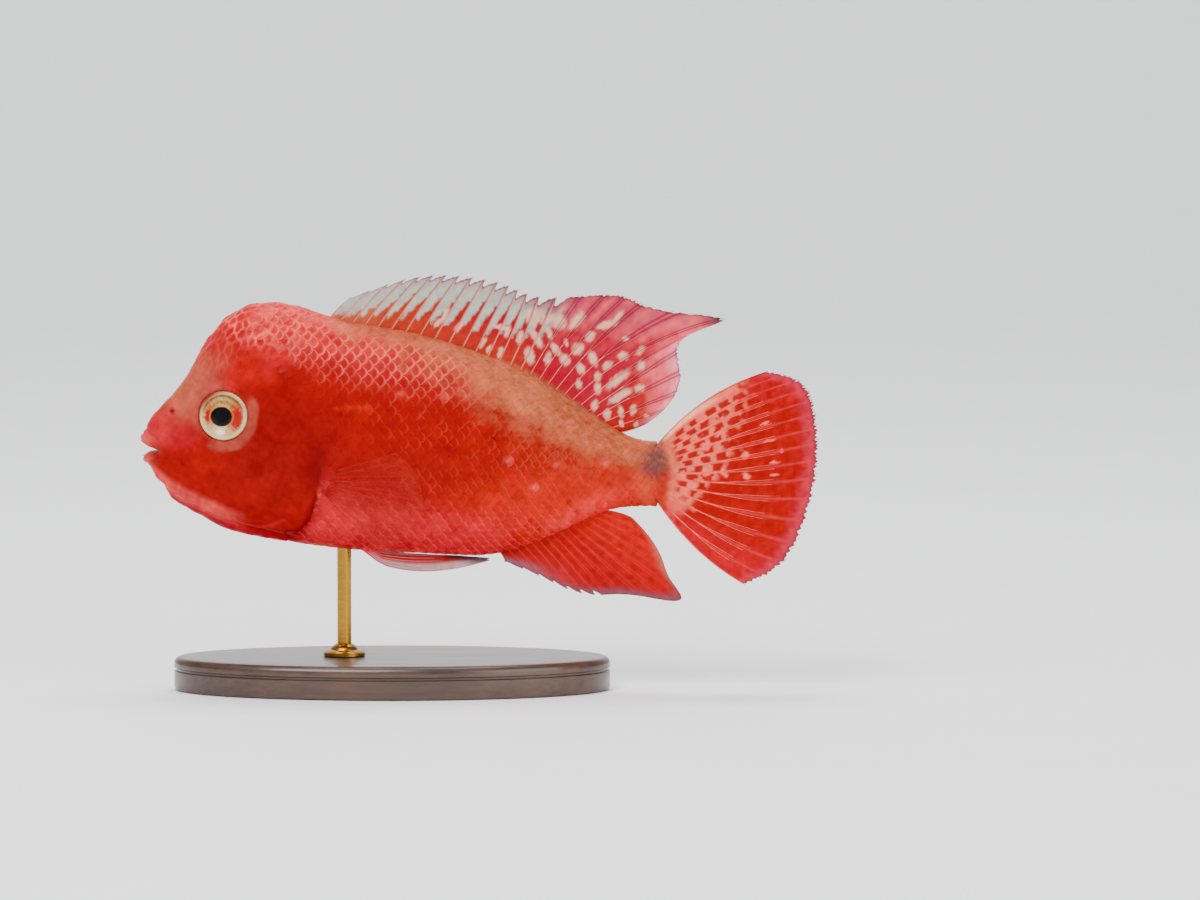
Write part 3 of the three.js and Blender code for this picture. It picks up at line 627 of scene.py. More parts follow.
def add_node(tree, kind, inputs=None, **settings):
    node = tree.nodes.new(kind)
    for name, value in settings.items():
        setattr(node, name, value)
    for name, value in (inputs or {}).items():
        socket = node.inputs[name]
        if isinstance(value, bpy.types.NodeSocket):
            tree.links.new(value, socket)
        else:
            socket.default_value = value
    return node


def multiplied(tree, first, second):
    return add_node(tree, "ShaderNodeMath", {0: first, 1: second}, operation="MULTIPLY").outputs[0]


def noise(tree, scale, detail=4.0, roughness=0.55, stretch=(1, 1, 1)):
    place = add_node(tree, "ShaderNodeTexCoord").outputs["Object"]
    place = add_node(tree, "ShaderNodeMapping", {"Vector": place, "Scale": stretch}).outputs["Vector"]
    return add_node(tree, "ShaderNodeTexNoise", {"Vector": place, "Scale": scale, "Detail": detail,
                                                 "Roughness": roughness}).outputs["Fac"]


def ramp(tree, value, low, high, to_low, to_high):
    return add_node(tree, "ShaderNodeMapRange", {"Value": value, "From Min": low, "From Max": high,
                                                 "To Min": to_low, "To Max": to_high}).outputs["Result"]


def scaled_colour(tree, colour, factor):
    grey = add_node(tree, "ShaderNodeCombineColor", {"Red": factor, "Green": factor, "Blue": factor})
    blend = add_node(tree, "ShaderNodeMix", data_type="RGBA", blend_type="MULTIPLY")
    blend.inputs["Factor"].default_value = 1.0
    tree.links.new(colour, blend.inputs["A"])
    tree.links.new(grey.outputs["Color"], blend.inputs["B"])
    return blend.outputs["Result"]


def bump(tree, shader, height, strength, distance):
    node = add_node(tree, "ShaderNodeBump", {"Height": height, "Strength": strength, "Distance": distance})
    tree.links.new(node.outputs["Normal"], shader.inputs["Normal"])


def tinted_material(name, mottle=0.14, grain_scale=900, grain=0.18, alpha=False, **sockets):
    """Living tissue: the markings painted on the mesh, a fine mottle and a fine moist grain."""
    material, tree, shader = new_material(name, **sockets)
    tint = add_node(tree, "ShaderNodeAttribute", attribute_name="tint")
    mottled = ramp(tree, noise(tree, 420), 0.3, 0.7, 1 - mottle, 1 + mottle)
    tree.links.new(scaled_colour(tree, tint.outputs["Color"], mottled), shader.inputs["Base Color"])
    if alpha:
        tree.links.new(tint.outputs["Alpha"], shader.inputs["Alpha"])
    gloss = ramp(tree, noise(tree, 260, 3), 0.3, 0.7, 0.26, 0.44)
    tree.links.new(gloss, shader.inputs["Roughness"])
    bump(tree, shader, noise(tree, grain_scale, 5), grain, 0.0002)
    return material


def wood_material():
    material, tree, shader = new_material("dark walnut", Coat_Weight=0.5, Coat_Roughness=0.16)
    rings = noise(tree, 36, 5, 0.6, (0.35, 4.5, 4.5))
    streaks = noise(tree, 260, 6, 0.65, (0.08, 3.0, 3.0))
    grain = add_node(tree, "ShaderNodeMath", {0: rings, 1: streaks}, operation="ADD").outputs[0]
    tones = add_node(tree, "ShaderNodeValToRGB", {"Fac": multiplied(tree, grain, 0.5)})
    dark, light = tones.color_ramp.elements
    dark.position, light.position = 0.36, 0.66
    dark.color, light.color = (*paint(52, 28, 17), 1), (*paint(118, 74, 45), 1)
    tree.links.new(tones.outputs["Color"], shader.inputs["Base Color"])
    tree.links.new(ramp(tree, streaks, 0.3, 0.7, 0.34, 0.5), shader.inputs["Roughness"])
    bump(tree, shader, streaks, 0.12, 0.0002)
    return material


def brass_material():
    material, tree, shader = new_material("brushed brass", Metallic=1.0, Anisotropic=0.4)
    turned = noise(tree, 700, 4, 0.6, (0.3, 0.3, 6.0))
    warm = add_node(tree, "ShaderNodeRGB")
    warm.outputs[0].default_value = (*paint(196, 158, 92), 1)
    tree.links.new(scaled_colour(tree, warm.outputs[0], ramp(tree, noise(tree, 60), 0.3, 0.7, 0.86, 1.08)),
                   shader.inputs["Base Color"])
    tree.links.new(ramp(tree, turned, 0.3, 0.7, 0.22, 0.36), shader.inputs["Roughness"])
    bump(tree, shader, turned, 0.06, 0.0001)
    return material


SKIN = tinted_material("moist skin", Specular_IOR_Level=0.02, Coat_Weight=0.03, Coat_Roughness=0.2)
SCALE = tinted_material("scale", mottle=0.10, grain=0.10, Specular_IOR_Level=0.02, Coat_Weight=0.04,
                        Coat_Roughness=0.16)
EYEBALL = tinted_material("eye", mottle=0.07, grain_scale=700, grain=0.05, Specular_IOR_Level=0.1,
                          Coat_Weight=0.12, Coat_Roughness=0.02)
MEMBRANE = tinted_material("fin membrane", mottle=0.12, grain=0.14, alpha=True, Specular_IOR_Level=0.04)
RAY = tinted_material("fin ray", mottle=0.10, grain=0.1, Specular_IOR_Level=0.1)
WOOD = wood_material()
BRASS = brass_material()


def dress(made, material, slot, *nodes):
    """Gives a piece its material and its body, and hides the CAD nodes whose place it takes. The slot is not
    used.
    """
    made.data.materials.clear()
    made.data.materials.append(material)
    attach(made, "root")
    if nodes:
        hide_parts(*nodes)
    return made


# Geometry Nodes

def new_tree(name, *sockets):
    """A geometry tree with named inputs. Each socket is name, kind, default."""
    tree = bpy.data.node_groups.new(name, "GeometryNodeTree")
    tree.interface.new_socket("Geometry", in_out="INPUT", socket_type="NodeSocketGeometry")
    tree.interface.new_socket("Geometry", in_out="OUTPUT", socket_type="NodeSocketGeometry")
    for label, kind, value in sockets:
        socket = tree.interface.new_socket(label, in_out="INPUT", socket_type="NodeSocket" + kind)
        if value is not None:
            socket.default_value = value
    return tree, tree.nodes.new("NodeGroupInput").outputs, tree.nodes.new("NodeGroupOutput").inputs


def grown(made, tree, **values):
    """The plain mesh that the tree makes of an object, which it then takes the place of."""
    modifier = made.modifiers.new(tree.name, "NODES")
    modifier.node_group = tree
    for item in tree.interface.items_tree:
        if item.in_out == "INPUT" and item.name in values:
            modifier[item.identifier] = values[item.name]
    bpy.context.view_layer.update()
    evaluated = made.evaluated_get(bpy.context.evaluated_depsgraph_get())
    mesh = bpy.data.meshes.new_from_object(evaluated, preserve_all_data_layers=True,
                                           depsgraph=bpy.context.evaluated_depsgraph_get())
    made.modifiers.remove(modifier)
    made.data = mesh
    return made


def named(tree, name, kind="FLOAT_VECTOR"):
    node = add_node(tree, "GeometryNodeInputNamedAttribute", {"Name": name}, data_type=kind)
    return node.outputs["Attribute"]


def scaled_vector(tree, vector, factor):
    return add_node(tree, "ShaderNodeVectorMath", {0: vector, "Scale": factor}, operation="SCALE").outputs[0]


def added_vector(tree, first, second):
    return add_node(tree, "ShaderNodeVectorMath", {0: first, 1: second}, operation="ADD").outputs[0]


def end_tree(tree, mesh, material, result):
    """Shades the finished mesh smooth and gives it its material."""
    smooth = add_node(tree, "GeometryNodeSetShadeSmooth", {"Geometry": mesh}).outputs[0]
    finished = add_node(tree, "GeometryNodeSetMaterial", {"Geometry": smooth, "Material": material})
    tree.links.new(finished.outputs[0], result[0])
    return tree


def scale_tree():
    """Sets a scale on every point, lays it on the skin and gives it a patch on the baking map."""
    tree, given, result = new_tree(
        "overlapping scales", ("Scale", "Object", None), ("Skin", "Object", None),
        ("Length", "Float", 0.004), ("Width", "Float", 0.004), ("Free edge lift", "Float", 0.0002),
        ("Patch", "Float", 0.003), ("Material", "Material", None))
    pattern = add_node(tree, "GeometryNodeObjectInfo", {"Object": given["Scale"]}).outputs["Geometry"]
    skin = add_node(tree, "GeometryNodeObjectInfo", {"Object": given["Skin"]}).outputs["Geometry"]
    spread = add_node(tree, "ShaderNodeCombineXYZ", {"X": given["Length"], "Y": given["Width"], "Z": MM})
    turn = add_node(tree, "FunctionNodeEulerToRotation", {"Euler": named(tree, "lie")})
    placed = add_node(tree, "GeometryNodeInstanceOnPoints", {
        "Points": given["Geometry"], "Instance": pattern, "Rotation": turn.outputs[0],
        "Scale": scaled_vector(tree, spread.outputs[0], named(tree, "size", "FLOAT"))})
    real = add_node(tree, "GeometryNodeRealizeInstances", {"Geometry": placed.outputs[0]})
    near = add_node(tree, "GeometryNodeProximity", {"Target": skin}, target_element="FACES")
    normal = add_node(tree, "GeometryNodeInputNormal").outputs[0]
    facing = add_node(tree, "GeometryNodeSampleNearestSurface", {"Mesh": skin, "Value": normal},
                      data_type="FLOAT_VECTOR")
    local = named(tree, "local")
    lift = add_node(tree, "ShaderNodeSeparateXYZ", {0: local}).outputs["Z"]
    raised = scaled_vector(tree, facing.outputs[0], multiplied(tree, lift, given["Free edge lift"]))
    laid = add_node(tree, "GeometryNodeSetPosition", {
        "Geometry": real.outputs[0], "Position": added_vector(tree, near.outputs["Position"], raised)})
    patch = added_vector(tree, scaled_vector(tree, local, given["Patch"]), named(tree, "unwrap"))
    baked = add_node(tree, "GeometryNodeStoreNamedAttribute", {
        "Geometry": laid.outputs[0], "Name": "OFBake", "Value": patch}, data_type="FLOAT2", domain="CORNER")
    return end_tree(tree, baked.outputs[0], given["Material"], result)


def ray_tree():
    """Turns the middle lines of a fin's rays into tapered rods."""
    tree, given, result = new_tree("fin rays", ("Sides", "Int", 6), ("Thickness", "Float", 1.0),
                                   ("Material", "Material", None))
    line = add_node(tree, "GeometryNodeMeshToCurve", {"Mesh": given["Geometry"]})
    ring = add_node(tree, "GeometryNodeCurvePrimitiveCircle", {"Resolution": given["Sides"], "Radius": MM})
    rod = add_node(tree, "GeometryNodeCurveToMesh", {
        "Curve": line.outputs[0], "Profile Curve": ring.outputs[0], "Fill Caps": True,
        "Scale": multiplied(tree, named(tree, "thickness", "FLOAT"), given["Thickness"])})
    real = add_node(tree, "GeometryNodeRealizeInstances", {"Geometry": rod.outputs[0]})
    return end_tree(tree, real.outputs[0], given["Material"], result)


# The skin

def cut_or_join(made, other, operation):
    """Cuts another shape out of a piece, or joins it on, and removes the other shape."""
    modifier = made.modifiers.new(operation, "BOOLEAN")
    modifier.operation, modifier.solver, modifier.object = operation, "MANIFOLD", other
    bpy.context.view_layer.update()
    depsgraph = bpy.context.evaluated_depsgraph_get()
    mesh = bpy.data.meshes.new_from_object(made.evaluated_get(depsgraph), depsgraph=depsgraph)
    made.modifiers.remove(modifier)
    made.data = mesh
    bpy.data.objects.remove(other)


def make_lip(name, front, corner, half_width, radius):
    """A full, tapered lip from one corner of the mouth round the front to the other."""
    steps, sides = 56, 20
    turn = np.linspace(-math.pi / 2, math.pi / 2, steps + 1)
    c, s = np.cos(turn), np.sin(turn)
    centre = np.stack([mix(corner[0], front[0], c), half_width * s, mix(corner[1], front[1], c)], -1)
    out = unit(np.stack([-c, 0.9 * s, np.zeros_like(s)], -1))
    thick = radius * (0.34 + 0.66 * np.sqrt(np.maximum(c, 0))) * (1 + 0.04 * np.sin(9 * turn))
    a = np.linspace(0, 2 * math.pi, sides, endpoint=False)
    rings = centre[:, None] + out[:, None] * (thick[:, None] * np.cos(a))[..., None]
    rings[..., 2] += 0.85 * thick[:, None] * np.sin(a)
    made = new_object(name, rings, tube_faces(steps + 1, sides))
    face_outwards(made)
    return made


def make_mouth_gap():
    """The wedge that parts the lips, wider than the head."""
    half_width = 12.0
    outline = smooth_path(MOUTH_GAP, 6, closed=True)[:-1]
    count = len(outline)
    rings = [np.column_stack([outline[:, 0], np.full(count, y), outline[:, 1]])
             for y in (-half_width, half_width)]
    made = new_object("mouth gap", np.concatenate(rings), tube_faces(2, count))
    face_outwards(made)
    return made


def make_skin():
    """The whole skin in one piece, with the lips joined on and the mouth cut open."""
    head_end, head_rings, trunk_rings, sides = 9.2, 320, 104, 222
    stations = np.concatenate([np.linspace(0, head_end, head_rings),
                               np.linspace(head_end, LAST, trunk_rings)[1:]])
    angles = np.linspace(0, 2 * math.pi, sides, endpoint=False)
    t, angle = np.meshgrid(stations, angles, indexing="ij")
    smooth = flesh_point(t, angle)
    points = smooth + flesh_normal(t, angle) * (relief(smooth) * smoothstep(t, 0.0, 0.6))[..., None]
    rows, columns = t.shape
    snout, tail_end, last_ring = rows * columns, rows * columns + 1, (rows - 1) * columns
    flat = np.vstack([points.reshape(-1, 3), points[0].mean(0), points[-1].mean(0)])
    faces = grid_faces(rows, columns, wrap=True).tolist()
    for j in range(columns):
        following = (j + 1) % columns
        faces += [[snout, j, following], [tail_end, last_ring + following, last_ring + j]]
    made = new_object("skin", flat, faces)
    face_outwards(made)
    cut_or_join(made, make_lip("upper lip", **UPPER_LIP), "UNION")
    cut_or_join(made, make_lip("lower lip", **LOWER_LIP), "UNION")
    cut_or_join(made, make_mouth_gap(), "DIFFERENCE")
    shade_smooth(made, 50)
    store_tint(made.data, flesh_colour(points_of(made.data)))
    return dress(made, SKIN, "flesh", "head", "nuchal_hump", "lower_jaw", "gill_cover_left",
                 "gill_cover_right", "trunk", "tail_stalk", "upper_lip", "lower_lip")


# The scales

def make_scale_pattern():
    """One scale, a fan with a rounded free edge. Its third value is how far it stands off the skin."""
    lengthwise = np.array([0, 0.2, 0.4, 0.6, 0.8, 0.95, 1.0])
    lift_along = np.array([-0.9, -0.35, 0.15, 0.55, 0.9, 1.0, 0.05])
    columns = 7
    u, v = np.meshgrid(lengthwise, np.linspace(0, 1, columns), indexing="ij")
    across = 2 * v - 1
    fan = fan_length(across)
    x = u * fan - 0.5
    y = (v - 0.5) * (1 - 0.25 * (1 - u) ** 2)
    lift = np.broadcast_to(lift_along[:, None], u.shape) - 0.5 * np.abs(across) ** 4 * (u > 0.3)
    faces = grid_faces(len(lengthwise), columns)
    made = new_object("scale pattern", np.stack([x, y, np.zeros_like(x)], -1) / MM, faces)
    store_vector(made.data, "local", np.stack([u * fan, v, lift], -1))
    return made


def fan_length(across):
    """A scale's length beside its middle line, as a share of its full length."""
    return np.sqrt(1 - (0.9 * across) ** 2)


def scale_places():
    """Rows of places along the left flank: station, angle and size of each scale."""
    first_station, mid_flank = 4.0, math.pi * 1.5
    stations = np.linspace(first_station, LAST - 0.02, 1400)
    angles = np.linspace(math.pi, 2 * math.pi, 500)
    middle = flesh_point(stations, mid_flank)
    x = middle[:, 0]
    size = mix(1.0, 0.62, smoothstep(x, -20, 40)) * mix(0.78, 1.0, smoothstep(x, -56, -34))
    run = np.concatenate([[0], np.cumsum(np.linalg.norm(np.diff(middle, axis=0), axis=1) / size[1:])])
    places = []
    for column, reach in enumerate(np.arange(0, run[-1], SCALE_PITCH / 2)):
        t, grow = np.interp(reach, run, stations), np.interp(reach, run, size)
        ring = flesh_point(np.full(len(angles), t), angles)
        arc = np.concatenate([[0], np.cumsum(np.linalg.norm(np.diff(ring, axis=0), axis=1))])
        arc -= np.interp(mid_flank, angles, arc)
        pitch = ROW_PITCH * grow
        for row in range(int(arc[0] / pitch), int(arc[-1] / pitch) + 1):
            if (row + column) % 2 == 0:
                places.append((t, np.interp(row * pitch, arc, angles), grow))
    return np.array(places)


def scaled_here(points):
    """Where scales grow: behind the gill cover, on the nape and over the rear of the hump."""
    x, z = points[..., 0], points[..., 2]
    flank_front, nape_bottom, cover_margin = -44.5, 70, 1.1
    behind = (x > flank_front) & (cover_depth(points) > cover_margin)
    return np.where(z > nape_bottom, x > nape_front(z), behind)


def make_scales(skin, side, name):
    """The scales of one flank: side is -1 for the left and 1 for the right, its mirror image."""
    t, angle, grow = scale_places().T
    points, normals = flesh_point(t, angle), flesh_normal(t, angle)
    kept = scaled_here(points)
    t, angle, grow, points, normals = (values[kept] for values in (t, angle, grow, points, normals))
    draw = np.random.default_rng(21)
    twist = 0.09
    tangents = unit(flesh_point(np.minimum(t + 0.05, LAST), angle) - flesh_point(t - 0.05, angle))
    across = unit(np.cross(normals, tangents))
    tangents = unit(tangents + across * draw.normal(0, twist, len(t))[:, None])
    round_body = angle / (2 * math.pi)
    if side > 0:
        points, normals, tangents = (values * MIRROR for values in (points, normals, tangents))
        round_body = 1 - round_body
    across = unit(np.cross(normals, tangents))
    lies = [Matrix(np.stack(axes, -1).tolist()).to_euler() for axes in zip(tangents, across, normals)]
    made = new_object(name, points, [])
    store_vector(made.data, "lie", [tuple(lie) for lie in lies])
    store_vector(made.data, "root_place", points)
    map_size, map_margin = 0.98, 0.005
    unwrap = np.stack([t / LAST, round_body, np.zeros(len(t))], -1)
    store_vector(made.data, "unwrap", unwrap * map_size + map_margin)
    store_number(made.data, "size", grow * draw.uniform(0.93, 1.09, len(t)))
    pattern = make_scale_pattern()
    grown(made, scale_tree(), Scale=pattern, Skin=skin, Length=SCALE_LENGTH * MM, Width=SCALE_WIDTH * MM,
          Patch=PATCH, Material=SCALE, **{"Free edge lift": SCALE_LIFT * MM})
    bpy.data.objects.remove(pattern)
    colour_scales(made.data)
    return dress(made, SCALE, "flesh")


def colour_scales(mesh):
    """The markings of the skin below, with each scale's core a little redder and its free edge paler."""
    here, root, local = points_of(mesh), read_vector(mesh, "root_place"), read_vector(mesh, "local")
    net, between, edges = scale_net(here)
    across = np.abs(2 * local[:, 1] - 1)
    share = local[:, 0] / fan_length(across)
    core = falling(np.hypot((share - 0.66) / 0.30, across / 0.85), 0.6, 1.1)
    rim = smoothstep(share, 0.80, 0.95)
    store_tint(mesh, layered(
        mix(flesh_colour(root), flesh_colour(here), 0.6),
        (mix(RED, ROSE, 0.35), core * between * 0.35),
        (net, (1 - core) * between * 0.22),
        (net, rim * np.maximum(between, edges))))


# The eyes

def make_eye(side, name, node):
    """An eyeball set in the socket: side is -1 for the left and 1 for the right, its mirror image."""
    point, normal = flank(EYE["x"], EYE["z"])
    look = unit(np.array([normal[0] * 0.5, normal[1], normal[2] * 0.5]))
    centre = point - look * EYE["sunk"]
    right = unit(np.cross(np.array([0, 0, 1.0]), look))
    up = np.cross(look, right)
    rings, sectors = 96, 96
    lean, turn = np.meshgrid(np.linspace(0.0, math.pi, rings),
                             np.linspace(0, 2 * math.pi, sectors, endpoint=False), indexing="ij")
    radius = EYE["radius"]
    reach = radius * np.sin(lean)
    dome = np.sqrt(np.maximum(1 - (reach / radius) ** 5, 0)) * np.sign(np.cos(lean))
    cornea = np.where(lean < 1.2, 0.22 * falling(reach, PUPIL_RADIUS - 0.9, PUPIL_RADIUS + 0.5), 0)
    height = radius * EYE["flatten"] * dome + cornea
    points = (centre + right * (reach * np.cos(turn))[..., None] + up * (reach * np.sin(turn))[..., None]
              + look * height[..., None])
    behind = radius + 1
    tone = iris_colour(np.where(lean < 1.5, reach, behind), turn)
    if side > 0:
        points = points * MIRROR
    made = new_object(name, points, grid_faces(rings, sectors, wrap=True))
    store_tint(made.data, tone.reshape(-1, 3))
    face_outwards(made)
    shade_smooth(made)
    return dress(made, EYEBALL, "eye", node)


def turned_from(turn, direction):
    """The angle from a direction, at most half a turn either way."""
    return np.angle(np.exp(1j * (turn - direction)))


def iris_colour(reach, turn):
    """Rings of the eye, with the turn counted from the tail side towards the back."""
    cream, gold, ochre, black = paint(214, 208, 190), paint(194, 148, 70), paint(150, 84, 26), paint(3, 3, 4)
    along, up = reach * np.cos(turn), reach * np.sin(turn)
    mottle = ripple(np.stack([along, up, np.zeros_like(reach)], -1), 1.1, 31)
    grain = mottle * 0.5 + 0.5 * np.sin(turn * 46 + 3 * np.sin(turn * 7))
    pupil = np.hypot(along + 0.25, 1.1 * (up + 0.1))
    iris = falling(reach, 4.8, 5.25)
    upper = smoothstep(np.sin(turn), -0.1, 0.6)
    rear = bell(turned_from(turn, -0.15), 0.85) * bell(np.maximum(reach - 4.1, 0), 0.7)
    front = bell(turned_from(turn, math.pi), 0.6) * bell(np.maximum(reach - 3.8, 0), 0.6)
    glint = bell(np.hypot(0.8 * (along + 0.6), up + 3.9), 0.75)
    tone = layered(
        cream,
        (gold, iris * upper * (0.85 + 0.15 * grain)),
        (ochre, upper * bell(reach - 4.8, 0.5) * (0.9 + 0.2 * grain)),
        (ochre, iris * upper * bell(reach - 3.4, 0.5) * (0.55 + 0.3 * grain)),
        (gold, iris * (1 - upper) * (0.55 + 0.3 * grain)),
        (paint(206, 44, 6), 1.5 * rear + 1.3 * front + 0.4 * grain * (rear + front)),
        (paint(236, 232, 216), glint * 0.95),
        (paint(220, 170, 120), bell(pupil - PUPIL_RADIUS - 0.15, 0.18) * 0.5),
        (black, falling(pupil, PUPIL_RADIUS - 0.12, PUPIL_RADIUS + 0.05)),
        (paint(196, 16, 34), bell(reach - 5.6, 0.55) * bell(turned_from(turn, 2.3), 0.85)),
        (ochre, bell(reach - 6.0, 0.25) * 0.6))
    return np.clip(tone * (1 + 0.07 * grain[..., None]), 0, 1)


# The fins

def middle_fin(plan):
    """The way from ray number and share of its length to the fin's middle sheet."""
    root, tip, angle = (natural_spline(plan[key]) for key in ("root", "tips", "root_angle"))

    def at(q, v):
        start, end = root(q), tip(q)
        lean = np.radians(angle(q)[..., 0])
        direction = np.stack([np.cos(lean), np.sin(lean)], -1)
        v = np.asarray(v, float)[..., None]
        bend = start + direction * np.linalg.norm(end - start, axis=-1, keepdims=True) * 0.5
        curve = (1 - v) ** 2 * start + 2 * v * (1 - v) * bend + v * v * end
        flat = curve - FIN_ROOT_SINK * (1 - v) ** 2 * direction
        sway = 0.55 * v[..., 0] ** 2 * np.sin(0.55 * q + 2.2 * v[..., 0])
        return np.stack([flat[..., 0], sway, flat[..., 1]], -1)
    return at


def pectoral_fin():
    """The same for the left pectoral fin, held out from the body."""
    root = flank(PECTORAL["x"], (PECTORAL["top"] + PECTORAL["bottom"]) / 2)[0]
    flare = math.radians(PECTORAL["flare"])

    def at(q, v):
        share = q / (PECTORAL["rays"] - 1)
        lean, z = np.radians(mix(*PECTORAL["fan"], share)), mix(PECTORAL["top"], PECTORAL["bottom"], share)
        long = PECTORAL["length"] * (0.6 + 0.4 * np.sin(math.pi * (0.12 + 0.8 * share)))
        reach = -FIN_ROOT_SINK + v * (long + FIN_ROOT_SINK)
        out = reach * math.sin(flare) * (1 - 0.25 * v) + 0.35 * v * np.sin(1.1 * q)
        x = root[0] + reach * math.cos(flare) * np.cos(lean)
        return np.stack([x, root[1] - out, z + reach * np.sin(lean)], -1)
    return at


def pelvic_fin():
    """The same for the left pelvic fin, laid back along the belly."""
    def at(q, v):
        share = np.maximum(0, q / (PELVIC["rays"] - 1))
        reach = v * PELVIC["length"] * (1 - 0.34 * share ** 1.3)
        belly = 33.0 + 0.7 * np.exp(-(((PELVIC["x"] + reach + 30) / 9) ** 2))
        spread = (1 - share) * PELVIC["spread"] * np.sin(math.pi * np.minimum(1, 0.12 + 0.8 * v))
        z = belly - 0.55 - 0.62 * spread - 0.5 * v + FIN_ROOT_SINK * np.maximum(0, 1 - 6 * v)
        y = -(PELVIC["y"] - 1.2 * v + 0.75 * spread)
        return np.stack([PELVIC["x"] + reach + share * 1.2, y, z], -1)
    return at


def edge_share(q, spines, notch):
    """The share of its length that the sheet keeps at q: it drops behind a spine and rises to the next."""
    past = q - np.floor(q)
    leaf = 1 - notch * (1 - past) ** 2 * smoothstep(past, 0.0, 0.12)
    return np.where(q < spines - 0.5, leaf, 1)


def sheet_normal(at, q, v):
    """The direction square to a fin's middle sheet."""
    across = at(q + 0.05, v) - at(q - 0.05, v)
    along = at(q, v + 0.02) - at(q, v - 0.02)
    return unit(np.cross(along, across))


def make_membrane(name, at, rays, columns, rows, colour, spines=0, notch=0.0, thin=0.11, fringe=0.0,
                  sheath=0.5, sheath_length=2.0):
    """The fin's skin as a thin closed sheet, thickened over its root where the body's skin runs on to it."""
    q, v = np.meshgrid(np.linspace(0, rays - 1, (rays - 1) * columns + 1), np.linspace(0, 1, rows + 1),
                       indexing="ij")
    off_ray = q - np.round(q)
    torn = 0.5 + 0.25 * np.cos(8 * math.pi * off_ray) + 0.25 * np.sin(5.3 * q) * np.sin(11.9 * q)
    ragged = 1 - fringe * torn * smoothstep(v, 0.8, 1)
    reach = v * edge_share(q, spines, notch) * ragged
    middle, normal = at(q, reach), sheet_normal(at, q, np.clip(reach, 0.03, 0.97))
    run = np.maximum(np.linalg.norm(middle - at(q, np.zeros_like(q)), axis=-1) - 0.6, 0)
    half = thin * (1 - 0.4 * v) + sheath * np.clip(1 - run / sheath_length, 0, 1) ** 2
    half = half * smoothstep(np.minimum(q, rays - 1 - q), -0.2, 0.25)
    half = np.maximum(half, THINNEST_EDGE)
    sides = [middle + normal * half[..., None], middle - normal * half[..., None]]
    count, tall, wide = q.size, rows + 1, q.shape[0]
    front = grid_faces(wide, tall)
    rim = np.concatenate([np.arange(wide) * tall, np.arange(1, tall) + (wide - 1) * tall,
                          np.arange(wide - 2, -1, -1) * tall + rows, np.arange(rows - 1, 0, -1)])
    following = np.roll(rim, -1)
    joined = np.stack([rim, rim + count, following + count, following], -1)
    made = new_object(name, np.concatenate([s.reshape(-1, 3) for s in sides]),
                      np.concatenate([front, front[:, ::-1] + count, joined]))
    tone, alpha = colour(q, v, run, middle)
    tone = np.clip(tone * (1 + 0.07 * ripple(middle, 1.4, 61))[..., None], 0, 1)
    store_tint(made.data, np.tile(tone.reshape(-1, 3), (2, 1)), np.tile(alpha.ravel(), 2))
    face_outwards(made)
    shade_smooth(made, 60)
    return made


def ray_lines(rays, spines):
    """The rays' middle lines: ray, first and second fork, start and end along the ray, and thickness."""
    lines = []
    for ray in range(rays):
        if ray < spines:
            lines.append((ray, 0.0, 0.0, 0.0, 1.0, 1.35))
        elif ray in (0, rays - 1):
            lines.append((ray, 0.0, 0.0, 0.0, 1.0, 1.0))
        else:
            lines.append((ray, 0.0, 0.0, 0.0, 0.42, 1.0))
            for first in (-1, 1):
                lines.append((ray, first, 0.0, 0.34, 0.72, 0.8))
                lines += [(ray, first, second, 0.64, 1.0, 0.6) for second in (-1, 1)]
    return lines


def make_rays(name, at, rays, colour, thick, spines=0):
    """Spines, and soft rays that fork twice, grown from their middle lines into rods."""
    steps, tip_radius = 16, 0.03
    points, edges, thickness, along = [], [], [], []
    for ray, first, second, begin, end, weight in ray_lines(rays, spines):
        v = np.linspace(begin, end, steps)
        spread = 0.15 * first * smoothstep(v, 0.3, 0.62) + 0.08 * second * smoothstep(v, 0.62, 0.92)
        start = len(points) * steps
        edges += [(i, i + 1) for i in range(start, start + steps - 1)]
        points.append(at(np.clip(ray + spread, 0, rays - 1), v))
        thickness.append(thick * weight * (1 - 0.72 * v) + tip_radius)
        along.append(v)
    made = new_object(name, np.concatenate(points), [], edges)
    store_number(made.data, "thickness", np.concatenate(thickness))
    store_number(made.data, "along", np.concatenate(along))
    grown(made, ray_tree(), Sides=6, Thickness=1.0, Material=RAY)
    store_tint(made.data, colour(read_number(made.data, "along"), points_of(made.data)))
    return made


